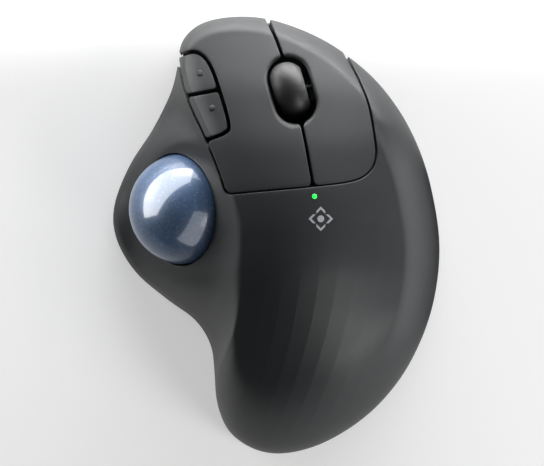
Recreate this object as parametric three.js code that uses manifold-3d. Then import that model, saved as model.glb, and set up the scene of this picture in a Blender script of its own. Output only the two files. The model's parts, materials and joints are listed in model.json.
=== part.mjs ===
// Right-handed thumb trackball mouse, as an assembly of separate pieces.
// Millimetres. +X is to the right, +Y to the front, +Z up. The origin is under the middle of
// the outline, on the surface that the feet stand on.
import * as THREE from 'three';
import { mergeVertices } from 'three/addons/utils/BufferGeometryUtils.js';
import Module from 'manifold-3d';

const wasm = await Module();
wasm.setup();

// ---------------------------------------------------------------- driving dimensions

// Plan outline of the casing, anticlockwise from the middle of the right side.
const OUTLINE = [
  [50.1, -3], [48.2, 11.4], [44.4, 25], [37.9, 38], [28.4, 49.6], [14.9, 59.5],
  [0, 65.6], [-12, 67], [-23, 64.9], [-29, 59.4], [-30.4, 52], [-32.4, 44],
  [-38, 32.6], [-45.2, 21.3], [-49.9, 9], [-49.3, -1], [-43.5, -11.2], [-34, -19.5],
  [-25, -26.2], [-20.2, -34], [-19, -43], [-18.3, -51.5], [-14.5, -60.5], [-6, -66.2],
  [4, -67], [16, -63.2], [28.5, -54.9], [38.2, -43.9], [45, -31], [48.9, -17.5],
];
const CENTRE = [4, -1.5];

// Crease where the crowned top meets the thumb side, from front to rear.
const CREASE = [
  [-31.4, 58], [-29.7, 54.5], [-27, 43.1], [-21.4, 30.2], [-18.3, 20.9], [-15.6, 12],
  [-12.6, 0], [-11.9, -11.4], [-12.4, -24.6], [-15.2, -36.3], [-18.2, -44], [-21.5, -50],
];
// Seam behind and to the right of the two main buttons.
const REAR_SEAM = [
  [-15.6, 12], [11.2, 14.5], [23.6, 16.3], [28.8, 19.4], [30.6, 24], [30.3, 29.3],
  [28.5, 39.4], [25.7, 47.1], [21.7, 55.1], [16.5, 64],
];
// Gap between the left and the right button, through the wheel slot.
const SPLIT = [[-6.5, 75], [-2.6, 65.9], [2, 53.9], [7.5, 34.2], [11.2, 14.5], [11.6, 11]];
// Gap between the left button and the two side buttons, and the gap between those two.
const SIDE_EDGE = [
  [-36, 56.6], [-29.4, 56.6], [-24, 57.2], [-20.3, 53.6], [-17.4, 45.3], [-14, 34.4],
  [-15.4, 31.4], [-21.2, 29.4], [-26, 28],
];
const SIDE_SPLIT = [[-30, 42.9], [-26.6, 43.4], [-14, 45.7]];
const GAP_CUT = 1.2; // width of the cut along a gap: half of it is a seam beside the main shell

// Crown of the top: height along its highest line, and how fast it falls to both sides.
const CROWN_HEIGHT = [
  [-67, 24], [-55, 31.2], [-40, 38.8], [-25, 44.4], [-10, 47.6], [3, 47.8], [14, 46.4],
  [28, 42], [45, 33.6], [58, 25.4], [67, 19.2],
];
const CROWN_FALL_REAR = 0.0125;
const CROWN_FALL_FRONT = 0.007;
// Width of the rolled edge, by direction from the centre in degrees.
const ROLL_WIDTH = [
  [-180, 3], [-150, 4], [-130, 9], [-112, 17], [-90, 24], [-50, 19], [0, 11], [45, 9],
  [80, 6], [110, 5], [135, 3.5], [180, 3],
];
const GROOVE_WIDTH = 11; // finger groove along the right flank
const GROOVE_SPAN = [-42, -20, 16, 36];

const SKIN = 2.1; // wall of the mouldings
const SHELL_BOTTOM = 3.1;
const FLANGE_TOP = 5; // thin edge of the thumb side
const LIP_BOTTOM = 9.6; // lower edge of the main buttons' front lip

const BALL_R = 17;
const BALL_CENTRE = new THREE.Vector3(-28.2, 8, 23);
const BALL_TILT = 48; // degrees from vertical to the left
const BALL_LEAN = 4.6; // degrees to the rear
const OPENING_OFFSET = 2.75; // from the ball's centre out to the plane of the opening
const OPENING_R = 17.25;

const FLOOR_BOTTOM = 0.8;
const FLOOR_TOP = 2.8;
const FLOOR_INSET = 1.2;

const WHEEL_R = 9.5;
const TYRE_HALF = 5;
const SLOT_CENTRE = new THREE.Vector3(4.6, 44.3, 0);
const WHEEL_CENTRE = new THREE.Vector3(4.2, 43.4, 27.6); // behind the slot's middle, as the top slopes
const WHEEL_YAW = 16; // degrees that the wheel's plane turns to the left at its front
const ENCODER_X = -9.7; // along the axle from the wheel's middle
const SLOT_LENGTH = 22.4;
const SLOT_WIDTH = 12.2;

const BOARD_Z = 6.4;
const BOARD_THICK = 1.6;
const CELL_R = 7.15;
const CELL_LENGTH = 50.2;
const CELL_X = 6;
const CELL_REAR = -45.4;
const CELL_Z = 10.5;

const CLEAR = 0.3; // gap between neighbouring pieces
const HIGH = 90; // above everything

// ---------------------------------------------------------------- helpers

const model = new THREE.Group();

function material(color, roughness, metalness = 0) {
  return new THREE.MeshStandardMaterial({ color, roughness, metalness });
}
const looks = {
  shell: () => material(0x2b2d31, 0.62),
  dark: () => material(0x1b1c1f, 0.5),
  rubber: () => material(0x17181a, 0.85),
  ball: () => material(0x5c7ba8, 0.18),
  steel: () => material(0xb9bcc0, 0.35, 1),
  brass: () => material(0xc9a553, 0.4, 1),
  board: () => material(0x1f5a3a, 0.6),
  white: () => material(0xe4e4de, 0.5),
  clear: () => material(0xcfe6d2, 0.15),
  green: () => material(0x35d455, 0.3),
  label: () => material(0x30363f, 0.45),
  ribbon: () => material(0xd8d4c8, 0.6),
};

// A closed geometry as a manifold solid, moved by an optional matrix.
function solid(geometry, matrix) {
  let shape = geometry.clone();
  if (matrix) shape.applyMatrix4(matrix);
  shape.deleteAttribute('normal');
  shape.deleteAttribute('uv');
  shape = mergeVertices(shape, 1e-4);
  const vertProperties = new Float32Array(shape.attributes.position.array);
  const triVerts = new Uint32Array(shape.index.array);
  return new wasm.Manifold(new wasm.Mesh({ numProp: 3, vertProperties, triVerts }));
}

// The largest connected body of a solid, without the slivers that a cut can leave.
function largest(shape) {
  return shape.decompose().sort((a, b) => b.volume() - a.volume())[0];
}

function geometryOf(shape) {
  const mesh = shape.getMesh();
  const geometry = new THREE.BufferGeometry();
  geometry.setAttribute('position', new THREE.BufferAttribute(new Float32Array(mesh.vertProperties), 3));
  geometry.setIndex(new THREE.BufferAttribute(new Uint32Array(mesh.triVerts), 1));
  return geometry;
}

// Adds one named piece to the model.
function add(name, shape, look) {
  const geometry = shape.isBufferGeometry ? shape : geometryOf(largest(shape));
  const mesh = new THREE.Mesh(geometry, look());
  mesh.name = name;
  model.add(mesh);
}

function place(x, y, z, rx = 0, ry = 0, rz = 0) {
  const turn = new THREE.Euler(rx, ry, rz);
  return new THREE.Matrix4().makeRotationFromEuler(turn).setPosition(x, y, z);
}

// Box from its centre in plan and its lowest and highest z.
function block(x, y, z0, z1, width, depth) {
  return solid(new THREE.BoxGeometry(width, depth, z1 - z0), place(x, y, (z0 + z1) / 2));
}

// Upright cylinder.
function post(x, y, z0, z1, radius, sides = 20) {
  const geometry = new THREE.CylinderGeometry(radius, radius, z1 - z0, sides);
  return solid(geometry, place(x, y, (z0 + z1) / 2, Math.PI / 2));
}

// Upright prism of a plan polygon.
function prism(points, z0, z1) {
  const shape = new THREE.Shape(points.map(([x, y]) => new THREE.Vector2(x, y)));
  const geometry = new THREE.ExtrudeGeometry(shape, { depth: z1 - z0, bevelEnabled: false, steps: 1 });
  return solid(geometry, place(0, 0, z0));
}

// Rounded rectangle in plan, as polygon points.
function roundedRectangle(x, y, width, depth, radius, steps = 3) {
  const points = [];
  const corners = [[1, 1, 0], [-1, 1, 90], [-1, -1, 180], [1, -1, 270]];
  for (const [sx, sy, start] of corners) {
    for (let i = 0; i <= steps; i += 1) {
      const angle = THREE.MathUtils.degToRad(start + (90 * i) / steps);
      points.push([
        x + sx * (width / 2 - radius) + radius * Math.cos(angle),
        y + sy * (depth / 2 - radius) + radius * Math.sin(angle),
      ]);
    }
  }
  return points;
}

// Smooth curve through plan points.
function smooth(points, perSpan, closed = false) {
  const curve = new THREE.CatmullRomCurve3(
    points.map(([x, y]) => new THREE.Vector3(x, y, 0)), closed, 'catmullrom', 0.5);
  const spans = closed ? points.length : points.length - 1;
  const count = spans * perSpan;
  const result = [];
  for (let i = 0; i < count + (closed ? 0 : 1); i += 1) {
    const p = curve.getPoint(i / count);
    result.push([p.x, p.y]);
  }
  return result;
}

// A polyline moved sideways: a positive distance moves it to the left of its direction.
function sideways(line, distance) {
  return line.map(([x, y], i) => {
    const [ax, ay] = line[Math.max(i - 1, 0)];
    const [bx, by] = line[Math.min(i + 1, line.length - 1)];
    const length = Math.hypot(bx - ax, by - ay);
    return [x - (distance * (by - ay)) / length, y + (distance * (bx - ax)) / length];
  });
}

// The upright slab that cuts a gap along a line.
function gapCut(line, width = GAP_CUT) {
  const outline = [...sideways(line, -width / 2), ...sideways(line, width / 2).reverse()];
  return prism(outline, -HIGH, HIGH);
}

// Smooth height profile through [position, value] pairs (cubic Hermite).
function profile(pairs) {
  const slopes = pairs.map((p, i) => {
    const a = pairs[Math.max(i - 1, 0)];
    const b = pairs[Math.min(i + 1, pairs.length - 1)];
    return (b[1] - a[1]) / (b[0] - a[0]);
  });
  return (t) => {
    const s = THREE.MathUtils.clamp(t, pairs[0][0], pairs[pairs.length - 1][0]);
    let i = 0;
    while (i < pairs.length - 2 && s > pairs[i + 1][0]) i += 1;
    const step = pairs[i + 1][0] - pairs[i][0];
    const u = (s - pairs[i][0]) / step;
    return pairs[i][1] * (1 + 2 * u) * (1 - u) ** 2 + slopes[i] * step * u * (1 - u) ** 2
      + pairs[i + 1][1] * u * u * (3 - 2 * u) + slopes[i + 1] * step * u * u * (u - 1);
  };
}

const smoothstep = (t, low, high) => THREE.MathUtils.smoothstep(t, low, high);
const mix = (a, b, t) => a + (b - a) * t;
const radians = THREE.MathUtils.degToRad;

// ---------------------------------------------------------------- outer surfaces

const outlinePoints = smooth(OUTLINE, 12, true);
const outlineByAngle = outlinePoints
  .map(([x, y]) => [Math.atan2(y - CENTRE[1], x - CENTRE[0]), Math.hypot(x - CENTRE[0], y - CENTRE[1])])
  .sort((a, b) => a[0] - b[0]);

// Distance from the centre to the outline in one direction.
function outlineRadius(angle) {
  const list = outlineByAngle;
  let high = list.findIndex((entry) => entry[0] >= angle);
  if (high < 0) high = 0;
  const b = list[high];
  const a = list[(high + list.length - 1) % list.length];
  const turn = 2 * Math.PI;
  const span = (b[0] - a[0] + turn) % turn;
  const t = span > 0 ? ((angle - a[0] + turn) % turn) / span : 0;
  return mix(a[1], b[1], t);
}

const crownHeight = profile(CROWN_HEIGHT);
const rollWidth = profile(ROLL_WIDTH);

// Share of the full height that the rolled edge has reached at an inward distance.
function edgeRoll(x, y, angle, inward) {
  const t = THREE.MathUtils.clamp(inward / rollWidth(THREE.MathUtils.radToDeg(angle)), 0, 1);
  const round = Math.sqrt(1 - (1 - t) ** 2);
  const s = THREE.MathUtils.clamp(inward / GROOVE_WIDTH, 0, 1);
  const groove = 0.25 * s + 0.75 * s * s * (3 - 2 * s);
  const [a, b, c, d] = GROOVE_SPAN;
  const amount = x > CENTRE[0] ? smoothstep(y, a, b) * (1 - smoothstep(y, c, d)) : 0;
  return mix(round, groove, amount);
}

// Height of the crowned top over a plan point, set in by an offset for the inner wall.
function topHeight(x, y, offset = 0) {
  const angle = Math.atan2(y - CENTRE[1], x - CENTRE[0]);
  const inward = outlineRadius(angle) - Math.hypot(x - CENTRE[0], y - CENTRE[1]) - offset;
  const fall = mix(CROWN_FALL_REAR, CROWN_FALL_FRONT, smoothstep(y, 5, 50));
  const crown = crownHeight(y) - fall * (x + 0.05 * y) ** 2 - offset;
  return SHELL_BOTTOM + (crown - SHELL_BOTTOM) * edgeRoll(x, y, angle, inward);
}

const creaseByY = profile(smooth(CREASE, 6).map(([x, y]) => [y, x]).sort((a, b) => a[0] - b[0]));
const leftByY = profile(
  outlinePoints.filter(([x, y]) => x < CENTRE[0] - 12 && y > -60 && y < 62)
    .map(([x, y]) => [y, x]).sort((a, b) => a[0] - b[0]));

// Direction out of the ball's opening.
const openingNormal = new THREE.Vector3(
  -Math.sin(radians(BALL_TILT)), -Math.sin(radians(BALL_LEAN)), Math.cos(radians(BALL_TILT))).normalize();

// Height of the thumb side: from the flange at the outline up to the crease and on past it,
// swelling into the plane of the ball's opening around the ball.
const THUMB_HOLLOW = 0.2;
function thumbHeight(x, y) {
  const left = leftByY(y);
  const run = Math.max(creaseByY(y) - left, 1.5);
  const crest = crownHeight(y) - mix(CROWN_FALL_REAR, CROWN_FALL_FRONT, smoothstep(y, 5, 50))
    * (creaseByY(y) + 0.05 * y) ** 2;
  const u = Math.max((x - left) / run, 0);
  const wall = FLANGE_TOP + (crest - FLANGE_TOP) * (u + THUMB_HOLLOW * (u * u - u));
  const dx = x - BALL_CENTRE.x;
  const dy = y - BALL_CENTRE.y;
  const plane = BALL_CENTRE.z
    + (OPENING_OFFSET - openingNormal.x * dx - openingNormal.y * dy) / openingNormal.z;
  const reach = Math.hypot(dx / Math.cos(radians(BALL_TILT)), dy);
  return mix(plane, wall, smoothstep(reach, 19.5, 31));
}

// Closed solid from rings of points, closed at both ends by a fan to a middle point.
function ringSolid(rings, first, last) {
  const count = rings[0].length;
  const positions = [first, ...rings.flat(), last].flat();
  const index = [];
  const at = (r, i) => 1 + r * count + (i % count);
  const end = 1 + rings.length * count;
  for (let i = 0; i < count; i += 1) {
    index.push(0, at(0, i + 1), at(0, i));
    index.push(end, at(rings.length - 1, i), at(rings.length - 1, i + 1));
    for (let r = 0; r < rings.length - 1; r += 1) {
      index.push(at(r, i), at(r, i + 1), at(r + 1, i));
      index.push(at(r, i + 1), at(r + 1, i + 1), at(r + 1, i));
    }
  }
  const geometry = new THREE.BufferGeometry();
  geometry.setAttribute('position', new THREE.Float32BufferAttribute(positions, 3));
  geometry.setIndex(index);
  return solid(geometry);
}

// The crowned body under the top surface, set in by an offset, standing on a given floor.
function crownedBody(offset, floor, sides, inwardSteps) {
  const rings = [];
  const ring = (radiusOf, zOf) => Array.from({ length: sides }, (_, i) => {
    const angle = -Math.PI + (2 * Math.PI * (i + 0.5)) / sides;
    const radius = radiusOf(outlineRadius(angle) - offset);
    const x = CENTRE[0] + radius * Math.cos(angle);
    const y = CENTRE[1] + radius * Math.sin(angle);
    return [x, y, zOf(x, y)];
  });
  rings.push(ring((full) => full, () => floor));
  const last = inwardSteps[inwardSteps.length - 1];
  for (const inward of inwardSteps) {
    rings.push(ring((full) => full - inward, (x, y) => topHeight(x, y, offset)));
  }
  for (const share of [0.72, 0.42, 0.16]) {
    rings.push(ring((full) => (full - last) * share, (x, y) => topHeight(x, y, offset)));
  }
  const [cx, cy] = CENTRE;
  return ringSolid(rings, [cx, cy, floor], [cx, cy, topHeight(cx, cy, offset)]);
}

// The space above the thumb side, moved by a shift for the inner wall.
function thumbSpace(shiftX, shiftZ, rows, columns) {
  const [front, rear] = [57, -47];
  const cells = [];
  for (let j = 0; j <= rows; j += 1) {
    const y = mix(rear, front, j / rows);
    const left = leftByY(y) - 6;
    const right = Math.max(creaseByY(y), leftByY(y) + 1.5) + 9;
    const row = [];
    for (let i = 0; i <= columns; i += 1) {
      const x = mix(left, right, i / columns);
      row.push([x + shiftX, y, thumbHeight(x, y) + shiftZ]);
    }
    cells.push(row);
  }
  const positions = [...cells.flat(), ...cells.flat().map(([x, y]) => [x, y, HIGH])].flat();
  const across = columns + 1;
  const upper = across * (rows + 1);
  const index = [];
  const quad = (a, b, c, d) => index.push(a, b, c, a, c, d);
  for (let j = 0; j < rows; j += 1) {
    for (let i = 0; i < columns; i += 1) {
      const p = j * across + i;
      quad(p, p + across, p + across + 1, p + 1);
      quad(upper + p, upper + p + 1, upper + p + across + 1, upper + p + across);
    }
    const a = j * across;
    const b = a + columns;
    quad(a, upper + a, upper + a + across, a + across);
    quad(b, b + across, upper + b + across, upper + b);
  }
  for (let i = 0; i < columns; i += 1) {
    const a = i;
    const b = rows * across + i;
    quad(a, a + 1, upper + a + 1, upper + a);
    quad(b, upper + b, upper + b + 1, b + 1);
  }
  const geometry = new THREE.BufferGeometry();
  geometry.setAttribute('position', new THREE.Float32BufferAttribute(positions, 3));
  geometry.setIndex(index);
  return solid(geometry);
}

// ---------------------------------------------------------------- casing

const crease = smooth(CREASE, 4);
const rearSeam = smooth(REAR_SEAM, 4);
const split = smooth(SPLIT, 4);
const sideEdge = smooth(SIDE_EDGE, 3);
const frontCrease = crease.filter(([, y]) => y > 11.9);
const buttonField = [[-36, 75], [-36, 56.6], ...frontCrease, ...rearSeam, [16.5, 75]];

const EDGE_STEPS = [0, 0.4, 1.4, 3.2, 5.5, 8, 11, 16, 21];
const INNER_STEPS = [0, 1, 3, 6.5, 11, 17];
const OUTER_SIDES = 66;
const INNER_SIDES = 42;
const outer = crownedBody(0, SHELL_BOTTOM, OUTER_SIDES, EDGE_STEPS).subtract(thumbSpace(0, 0, 22, 10));

const openingTurn = new THREE.Quaternion()
  .setFromUnitVectors(new THREE.Vector3(0, 0, 1), openingNormal);
// Matrix that stands a piece made along +Z on the ball's centre, along the opening's direction.
function onBall(distance) {
  const at = BALL_CENTRE.clone().addScaledVector(openingNormal, distance);
  return new THREE.Matrix4().compose(at, openingTurn, new THREE.Vector3(1, 1, 1));
}
function openingCut() {
  const length = 40;
  const geometry = new THREE.CylinderGeometry(OPENING_R, OPENING_R, length, 40);
  geometry.rotateX(Math.PI / 2);
  return solid(geometry, onBall(length / 2 - 2));
}

const wheelTurn = radians(WHEEL_YAW);
// Matrix of a piece in the wheel's frame: x along the axle, y forwards, z up.
function onWheel(x, y, z, rx = 0, ry = 0, rz = 0) {
  const local = place(x, y, z, rx, ry, rz);
  const frame = place(WHEEL_CENTRE.x, WHEEL_CENTRE.y, WHEEL_CENTRE.z, 0, 0, wheelTurn);
  return frame.multiply(local);
}
function wheelSlot() {
  const straight = SLOT_LENGTH - SLOT_WIDTH;
  const r = SLOT_WIDTH / 2;
  const points = [];
  for (let i = 0; i <= 20; i += 1) {
    const angle = (Math.PI * 2 * i) / 20;
    if (i < 20) points.push([r * Math.cos(angle), r * Math.sin(angle) + (i <= 10 ? 1 : -1) * straight / 2]);
  }
  const turned = points.map(([x, y]) => [
    SLOT_CENTRE.x + x * Math.cos(wheelTurn) - y * Math.sin(wheelTurn),
    SLOT_CENTRE.y + x * Math.sin(wheelTurn) + y * Math.cos(wheelTurn),
  ]);
  return prism(turned, 10, HIGH);
}

// Places of the case screws, of the status light and of the switches under the buttons.
const SCREWS = [[-21, -18.5], [37, -21], [35, 29], [-30.3, 33.2]];
const SCREW_POST_BOTTOM = 9.3;
const LIGHT = [11.5, 11.7];
const LEFT_SWITCH = [-10.6, 50];
const RIGHT_SWITCH = [18.2, 43.5];
const FORWARD_SWITCH = [-20.6, 49];
const BACK_SWITCH = [-18.2, 38.5];
const SWITCH_HEIGHT = 6.5;
const SIDE_BOARD_Z = 12;
const mainPlungerTop = BOARD_Z + BOARD_THICK + CLEAR + SWITCH_HEIGHT + CLEAR + 0.9;
const sidePlungerTop = SIDE_BOARD_Z + 1.2 + CLEAR + 3 + CLEAR + 0.8;

// Hollow under the skin, with the posts that hang from the skin left standing.
function hollow(posts) {
  const body = crownedBody(SKIN, -5, INNER_SIDES, INNER_STEPS).subtract(thumbSpace(1.6, -1.5, 14, 6));
  return posts.reduce((shape, next) => shape.subtract(next), body);
}

function makeMainShell() {
  const posts = SCREWS.map(([x, y]) => post(x, y, SCREW_POST_BOTTOM, HIGH, 2.8));
  let shell = outer.subtract(hollow(posts)).subtract(prism(buttonField, -HIGH, HIGH));
  for (const [x, y] of SCREWS) shell = shell.subtract(post(x, y, 0, SCREW_POST_BOTTOM + 5, 1.5, 12));
  shell = shell.subtract(openingCut());
  shell = shell.subtract(post(LIGHT[0], LIGHT[1], 20, HIGH, 0.95, 16));
  add('main_shell', shell, looks.shell);
}

// Arm that runs back from a main button under the main shell to its hinge.
const ARM_REAR = 9;
function hingeArm(x) {
  const band = (y0, y1, drop0, drop1, width) => {
    const slab = crownedBody(drop0, -5, INNER_SIDES, INNER_STEPS)
      .subtract(crownedBody(drop1, -6, INNER_SIDES, INNER_STEPS));
    return slab.intersect(block(x, (y0 + y1) / 2, 20, HIGH, width, y1 - y0));
  };
  const under = band(ARM_REAR, 22, SKIN + 0.5, SKIN + 2, 8);
  const riser = band(18.5, 22, SKIN / 2, SKIN + 2, 8);
  return under.add(riser);
}

function makeMainButtons() {
  const pressers = [LEFT_SWITCH, RIGHT_SWITCH].map(([x, y]) =>
    block(x, y, mainPlungerTop + CLEAR, HIGH, 3, 2.2));
  let plate = outer.subtract(hollow(pressers));
  plate = plate.subtract(block(0, 0, -5, LIP_BOTTOM, 200, 200));
  const wheelRoom = new THREE.CylinderGeometry(WHEEL_R + 0.6, WHEEL_R + 0.6, 2 * TYRE_HALF + 1, 32);
  plate = plate.subtract(wheelSlot()).subtract(solid(wheelRoom, onWheel(0, 0, 0, 0, 0, Math.PI / 2)));
  const axleRoom = new THREE.BoxGeometry(22, 8, 12);
  plate = plate.subtract(solid(axleRoom, onWheel(-1.2, -1, -4.1)));
  const encoderRoom = new THREE.BoxGeometry(4.8, 11.2, 12);
  plate = plate.subtract(solid(encoderRoom, onWheel(ENCODER_X, 0, -3.1)));
  for (const line of [frontCrease, rearSeam, split, sideEdge]) plate = plate.subtract(gapCut(line));
  const rearLeft = rearSeam.filter(([x]) => x < 11.2);
  const rearRight = rearSeam.filter(([x, y]) => x >= 11.2 || y > 20);
  const seamLeft = frontCrease.filter(([, y]) => y < 27.8);
  const leftField = [[-36, 75], ...sideEdge, ...seamLeft, ...rearLeft, ...[...split].reverse().slice(4)];
  const rightField = [...split.slice(0, -4), ...rearRight, [16.5, 75]];
  const left = largest(plate.intersect(prism(leftField, 0, HIGH)));
  const right = largest(plate.intersect(prism(rightField, 0, HIGH)));
  add('left_button', left.add(hingeArm(-4)), looks.shell);
  add('right_button', right.add(hingeArm(19)), looks.shell);
}

function makeSideButtons() {
  const pressers = [FORWARD_SWITCH, BACK_SWITCH].map(([x, y]) =>
    block(x, y, sidePlungerTop + CLEAR, HIGH, 2.4, 2.4));
  let plate = outer.subtract(hollow(pressers));
  plate = plate.subtract(block(0, 0, -5, sidePlungerTop + CLEAR, 200, 200));
  for (const line of [frontCrease, sideEdge]) plate = plate.subtract(gapCut(line));
  const inner = sideEdge.filter(([x, y]) => x > creaseByY(y) + 0.2);
  const creasePart = frontCrease.filter(([, y]) => y > 29.8 && y < 56.2).reverse();
  const field = prism([...inner, ...creasePart], 0, HIGH);
  const both = plate.intersect(field).subtract(gapCut(SIDE_SPLIT));
  const [a, b] = both.decompose().sort((p, q) => q.volume() - p.volume());
  const frontOf = (shape) => shape.boundingBox().max[1];
  const [forward, back] = frontOf(a) > frontOf(b) ? [a, b] : [b, a];
  add('forward_button', forward, looks.shell);
  add('back_button', back, looks.shell);
}

// ---------------------------------------------------------------- base

const DOOR = { x: 13.95, y: -21, width: 31.1, depth: 58, radius: 5 };
const DOOR_GAP = 0.4;
const HINGE_TAB_X = [4, 24];
const EJECT_R = 6;
const GUIDE_R = 7.4; // tube around the eject hole, which carries the ball cup
const FEET = [
  ['foot_front_left', -14.5, 57.6, 15, 4.6, 8], ['foot_front_right', 12.5, 53.8, 15, 4.6, -38],
  ['foot_rear', 3.5, -60.2, 18, 4.6, 0], ['foot_thumb_side', -43.6, 6, 4.6, 15, 0],
  ['foot_right_side', 43.2, 2, 4.6, 18, 0],
];
const POWER = [-5, 30];
const PAIRING = [-5, 19];
const SIDE_POSTS = [[-16.6, 33.2], [-16.6, 53.4]];
const BOARD_POSTS = [[-9.5, 14.5], [24, 15], [23, 36], [-9.5, 44]];

function footPrism([, x, y, width, depth, turn], z0, z1, grow) {
  const radius = Math.min(width, depth) / 2 + grow;
  const points = roundedRectangle(0, 0, width + 2 * grow, depth + 2 * grow, radius - 0.01);
  const angle = radians(turn);
  return prism(points.map(([px, py]) => [
    x + px * Math.cos(angle) - py * Math.sin(angle),
    y + px * Math.sin(angle) + py * Math.cos(angle),
  ]), z0, z1);
}

function insetOutline(distance, steps = 3) {
  return sideways(smooth(OUTLINE, steps, true), distance);
}

function makeBase() {
  let base = prism(insetOutline(FLOOR_INSET), FLOOR_BOTTOM, FLOOR_TOP);
  // front wall under the lips of the main buttons
  const wallTop = LIP_BOTTOM - 1;
  const ring = prism(insetOutline(1), FLOOR_TOP - 0.5, wallTop)
    .subtract(prism(insetOutline(2.8), 0, HIGH));
  const front = prism([[-36, 75], [-36, 58.4], [-12, 50], [14, 50], [19.4, 57], [15.5, 75]], 0, HIGH);
  base = base.add(ring.intersect(front));
  // battery bay walls
  const [left, right, rear, head] = [CELL_X - 7.6, CELL_X + 7.6, -53, 8.6];
  const bay = prism([
    [left - 1.2, head + 1.2], [left - 1.2, rear - 1.2], [right + 1.2, rear - 1.2],
    [right + 1.2, -26.2], [30.7, -26.2], [30.7, head + 1.2],
  ], FLOOR_TOP - 0.5, 14);
  const cellRoom = prism([[left, head], [left, rear], [right, rear], [right, head]], 0, HIGH);
  const receiverRoom = prism([[right + 1.2, head], [right + 1.2, -25], [29.5, -25], [29.5, head]], 0, HIGH);
  base = base.add(bay.subtract(cellRoom).subtract(receiverRoom));
  base = base.subtract(prism(roundedRectangle(DOOR.x, DOOR.y, DOOR.width, DOOR.depth, DOOR.radius),
    0, FLOOR_TOP + 0.3));
  for (const x of HINGE_TAB_X) base = base.subtract(block(x, head + 0.6, 0, 5.3, 5, 3.4));
  // posts for the screws, the boards and the ball cup
  for (const [x, y] of SCREWS) base = base.add(post(x, y, FLOOR_TOP - 0.5, SCREW_POST_BOTTOM - CLEAR, 2.8));
  for (const [x, y] of BOARD_POSTS) base = base.add(post(x, y, FLOOR_TOP - 0.5, BOARD_Z - CLEAR, 2, 12));
  for (const [x, y] of SIDE_POSTS) base = base.add(post(x, y, FLOOR_TOP - 0.5, SIDE_BOARD_Z - CLEAR, 1.8, 12));
  const [bx, by] = [BALL_CENTRE.x, BALL_CENTRE.y];
  base = base.add(post(bx, by, FLOOR_TOP - 0.5, 4.6, GUIDE_R, 20)).subtract(post(bx, by, 0, 9, EJECT_R, 20));
  base = base.subtract(ballSphere(BALL_R + 2.8, 28, 18));
  for (const [x, y] of SCREWS) {
    base = base.subtract(post(x, y, 0, HIGH, 1.5, 12)).subtract(post(x, y, 0, FLOOR_TOP + 0.6, 2.6, 16));
  }
  for (const foot of FEET) base = base.subtract(footPrism(foot, 0, FLOOR_BOTTOM + 0.4, 0.3));
  base = base.subtract(prism(roundedRectangle(...POWER, 9.4, 4.4, 1), 0, HIGH));
  base = base.subtract(post(...PAIRING, 0, HIGH, 2.9, 20));
  add('base_shell', base, looks.dark);
}

function makeDoor() {
  const plan = roundedRectangle(DOOR.x, DOOR.y, DOOR.width - 2 * DOOR_GAP, DOOR.depth - 2 * DOOR_GAP,
    DOOR.radius - DOOR_GAP);
  let door = prism(plan, FLOOR_BOTTOM, FLOOR_TOP - 0.4);
  const front = DOOR.y + DOOR.depth / 2;
  for (const x of HINGE_TAB_X) {
    door = door.add(block(x, front - 0.9, FLOOR_TOP - 0.8, FLOOR_TOP + 1.3, 4, 1));
    door = door.add(block(x, front + 0.3, FLOOR_TOP + 0.4, FLOOR_TOP + 1.3, 4, 3.4));
  }
  // finger notch at the rear edge
  door = door.subtract(post(DOOR.x, DOOR.y - DOOR.depth / 2 - 1.5, 0, FLOOR_BOTTOM + 1, 6, 28));
  add('battery_door', door, looks.dark);
}

function makeFeetAndScrews() {
  for (const foot of FEET) add(foot[0], footPrism(foot, 0, FLOOR_BOTTOM + 0.1, 0), looks.rubber);
  SCREWS.forEach(([x, y], i) => {
    let screw = post(x, y, FLOOR_BOTTOM + 0.4, FLOOR_TOP + 0.3, 2.2, 20)
      .add(post(x, y, FLOOR_TOP, SCREW_POST_BOTTOM + 4, 1.15, 12));
    for (const turn of [0, Math.PI / 2]) {
      const slot = new THREE.BoxGeometry(2.6, 0.6, 1.6);
      screw = screw.subtract(solid(slot, place(x, y, FLOOR_BOTTOM + 0.4, 0, 0, turn)));
    }
    add(`case_screw_${i + 1}`, screw, looks.steel);
  });
}

// ---------------------------------------------------------------- ball

const CUP_INNER = BALL_R + 0.8;
const CUP_OUTER = BALL_R + 2.4;
const BEAD_R = 1.2;
// Direction in which the sensor sits, seen from the ball's centre.
const sensorDirection = new THREE.Vector3(0.8, -0.33, -0.5).normalize();
const sensorTurn = new THREE.Quaternion().setFromUnitVectors(new THREE.Vector3(0, 0, 1), sensorDirection);
function onSensor(distance, x = 0, y = 0) {
  const side = new THREE.Vector3(x, y, 0).applyQuaternion(sensorTurn);
  const at = BALL_CENTRE.clone().addScaledVector(sensorDirection, distance).add(side);
  return new THREE.Matrix4().compose(at, sensorTurn, new THREE.Vector3(1, 1, 1));
}
function ballSphere(radius, sides = 28, rows = 18) {
  return solid(new THREE.SphereGeometry(radius, sides, rows), place(...BALL_CENTRE));
}
function towardSensor(radius, depth, distance, sides) {
  const geometry = new THREE.CylinderGeometry(radius, radius, depth, sides);
  geometry.rotateX(Math.PI / 2);
  return solid(geometry, onSensor(distance));
}

// Places of the support beads: around the opening's direction, below the ball's middle.
function beadPlace(i) {
  const around = radians(40 + 120 * i);
  const down = radians(118);
  const local = new THREE.Vector3(
    Math.sin(down) * Math.cos(around), Math.sin(down) * Math.sin(around), Math.cos(down));
  return BALL_CENTRE.clone().addScaledVector(local.applyQuaternion(openingTurn), BALL_R + BEAD_R + 0.15);
}

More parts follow.
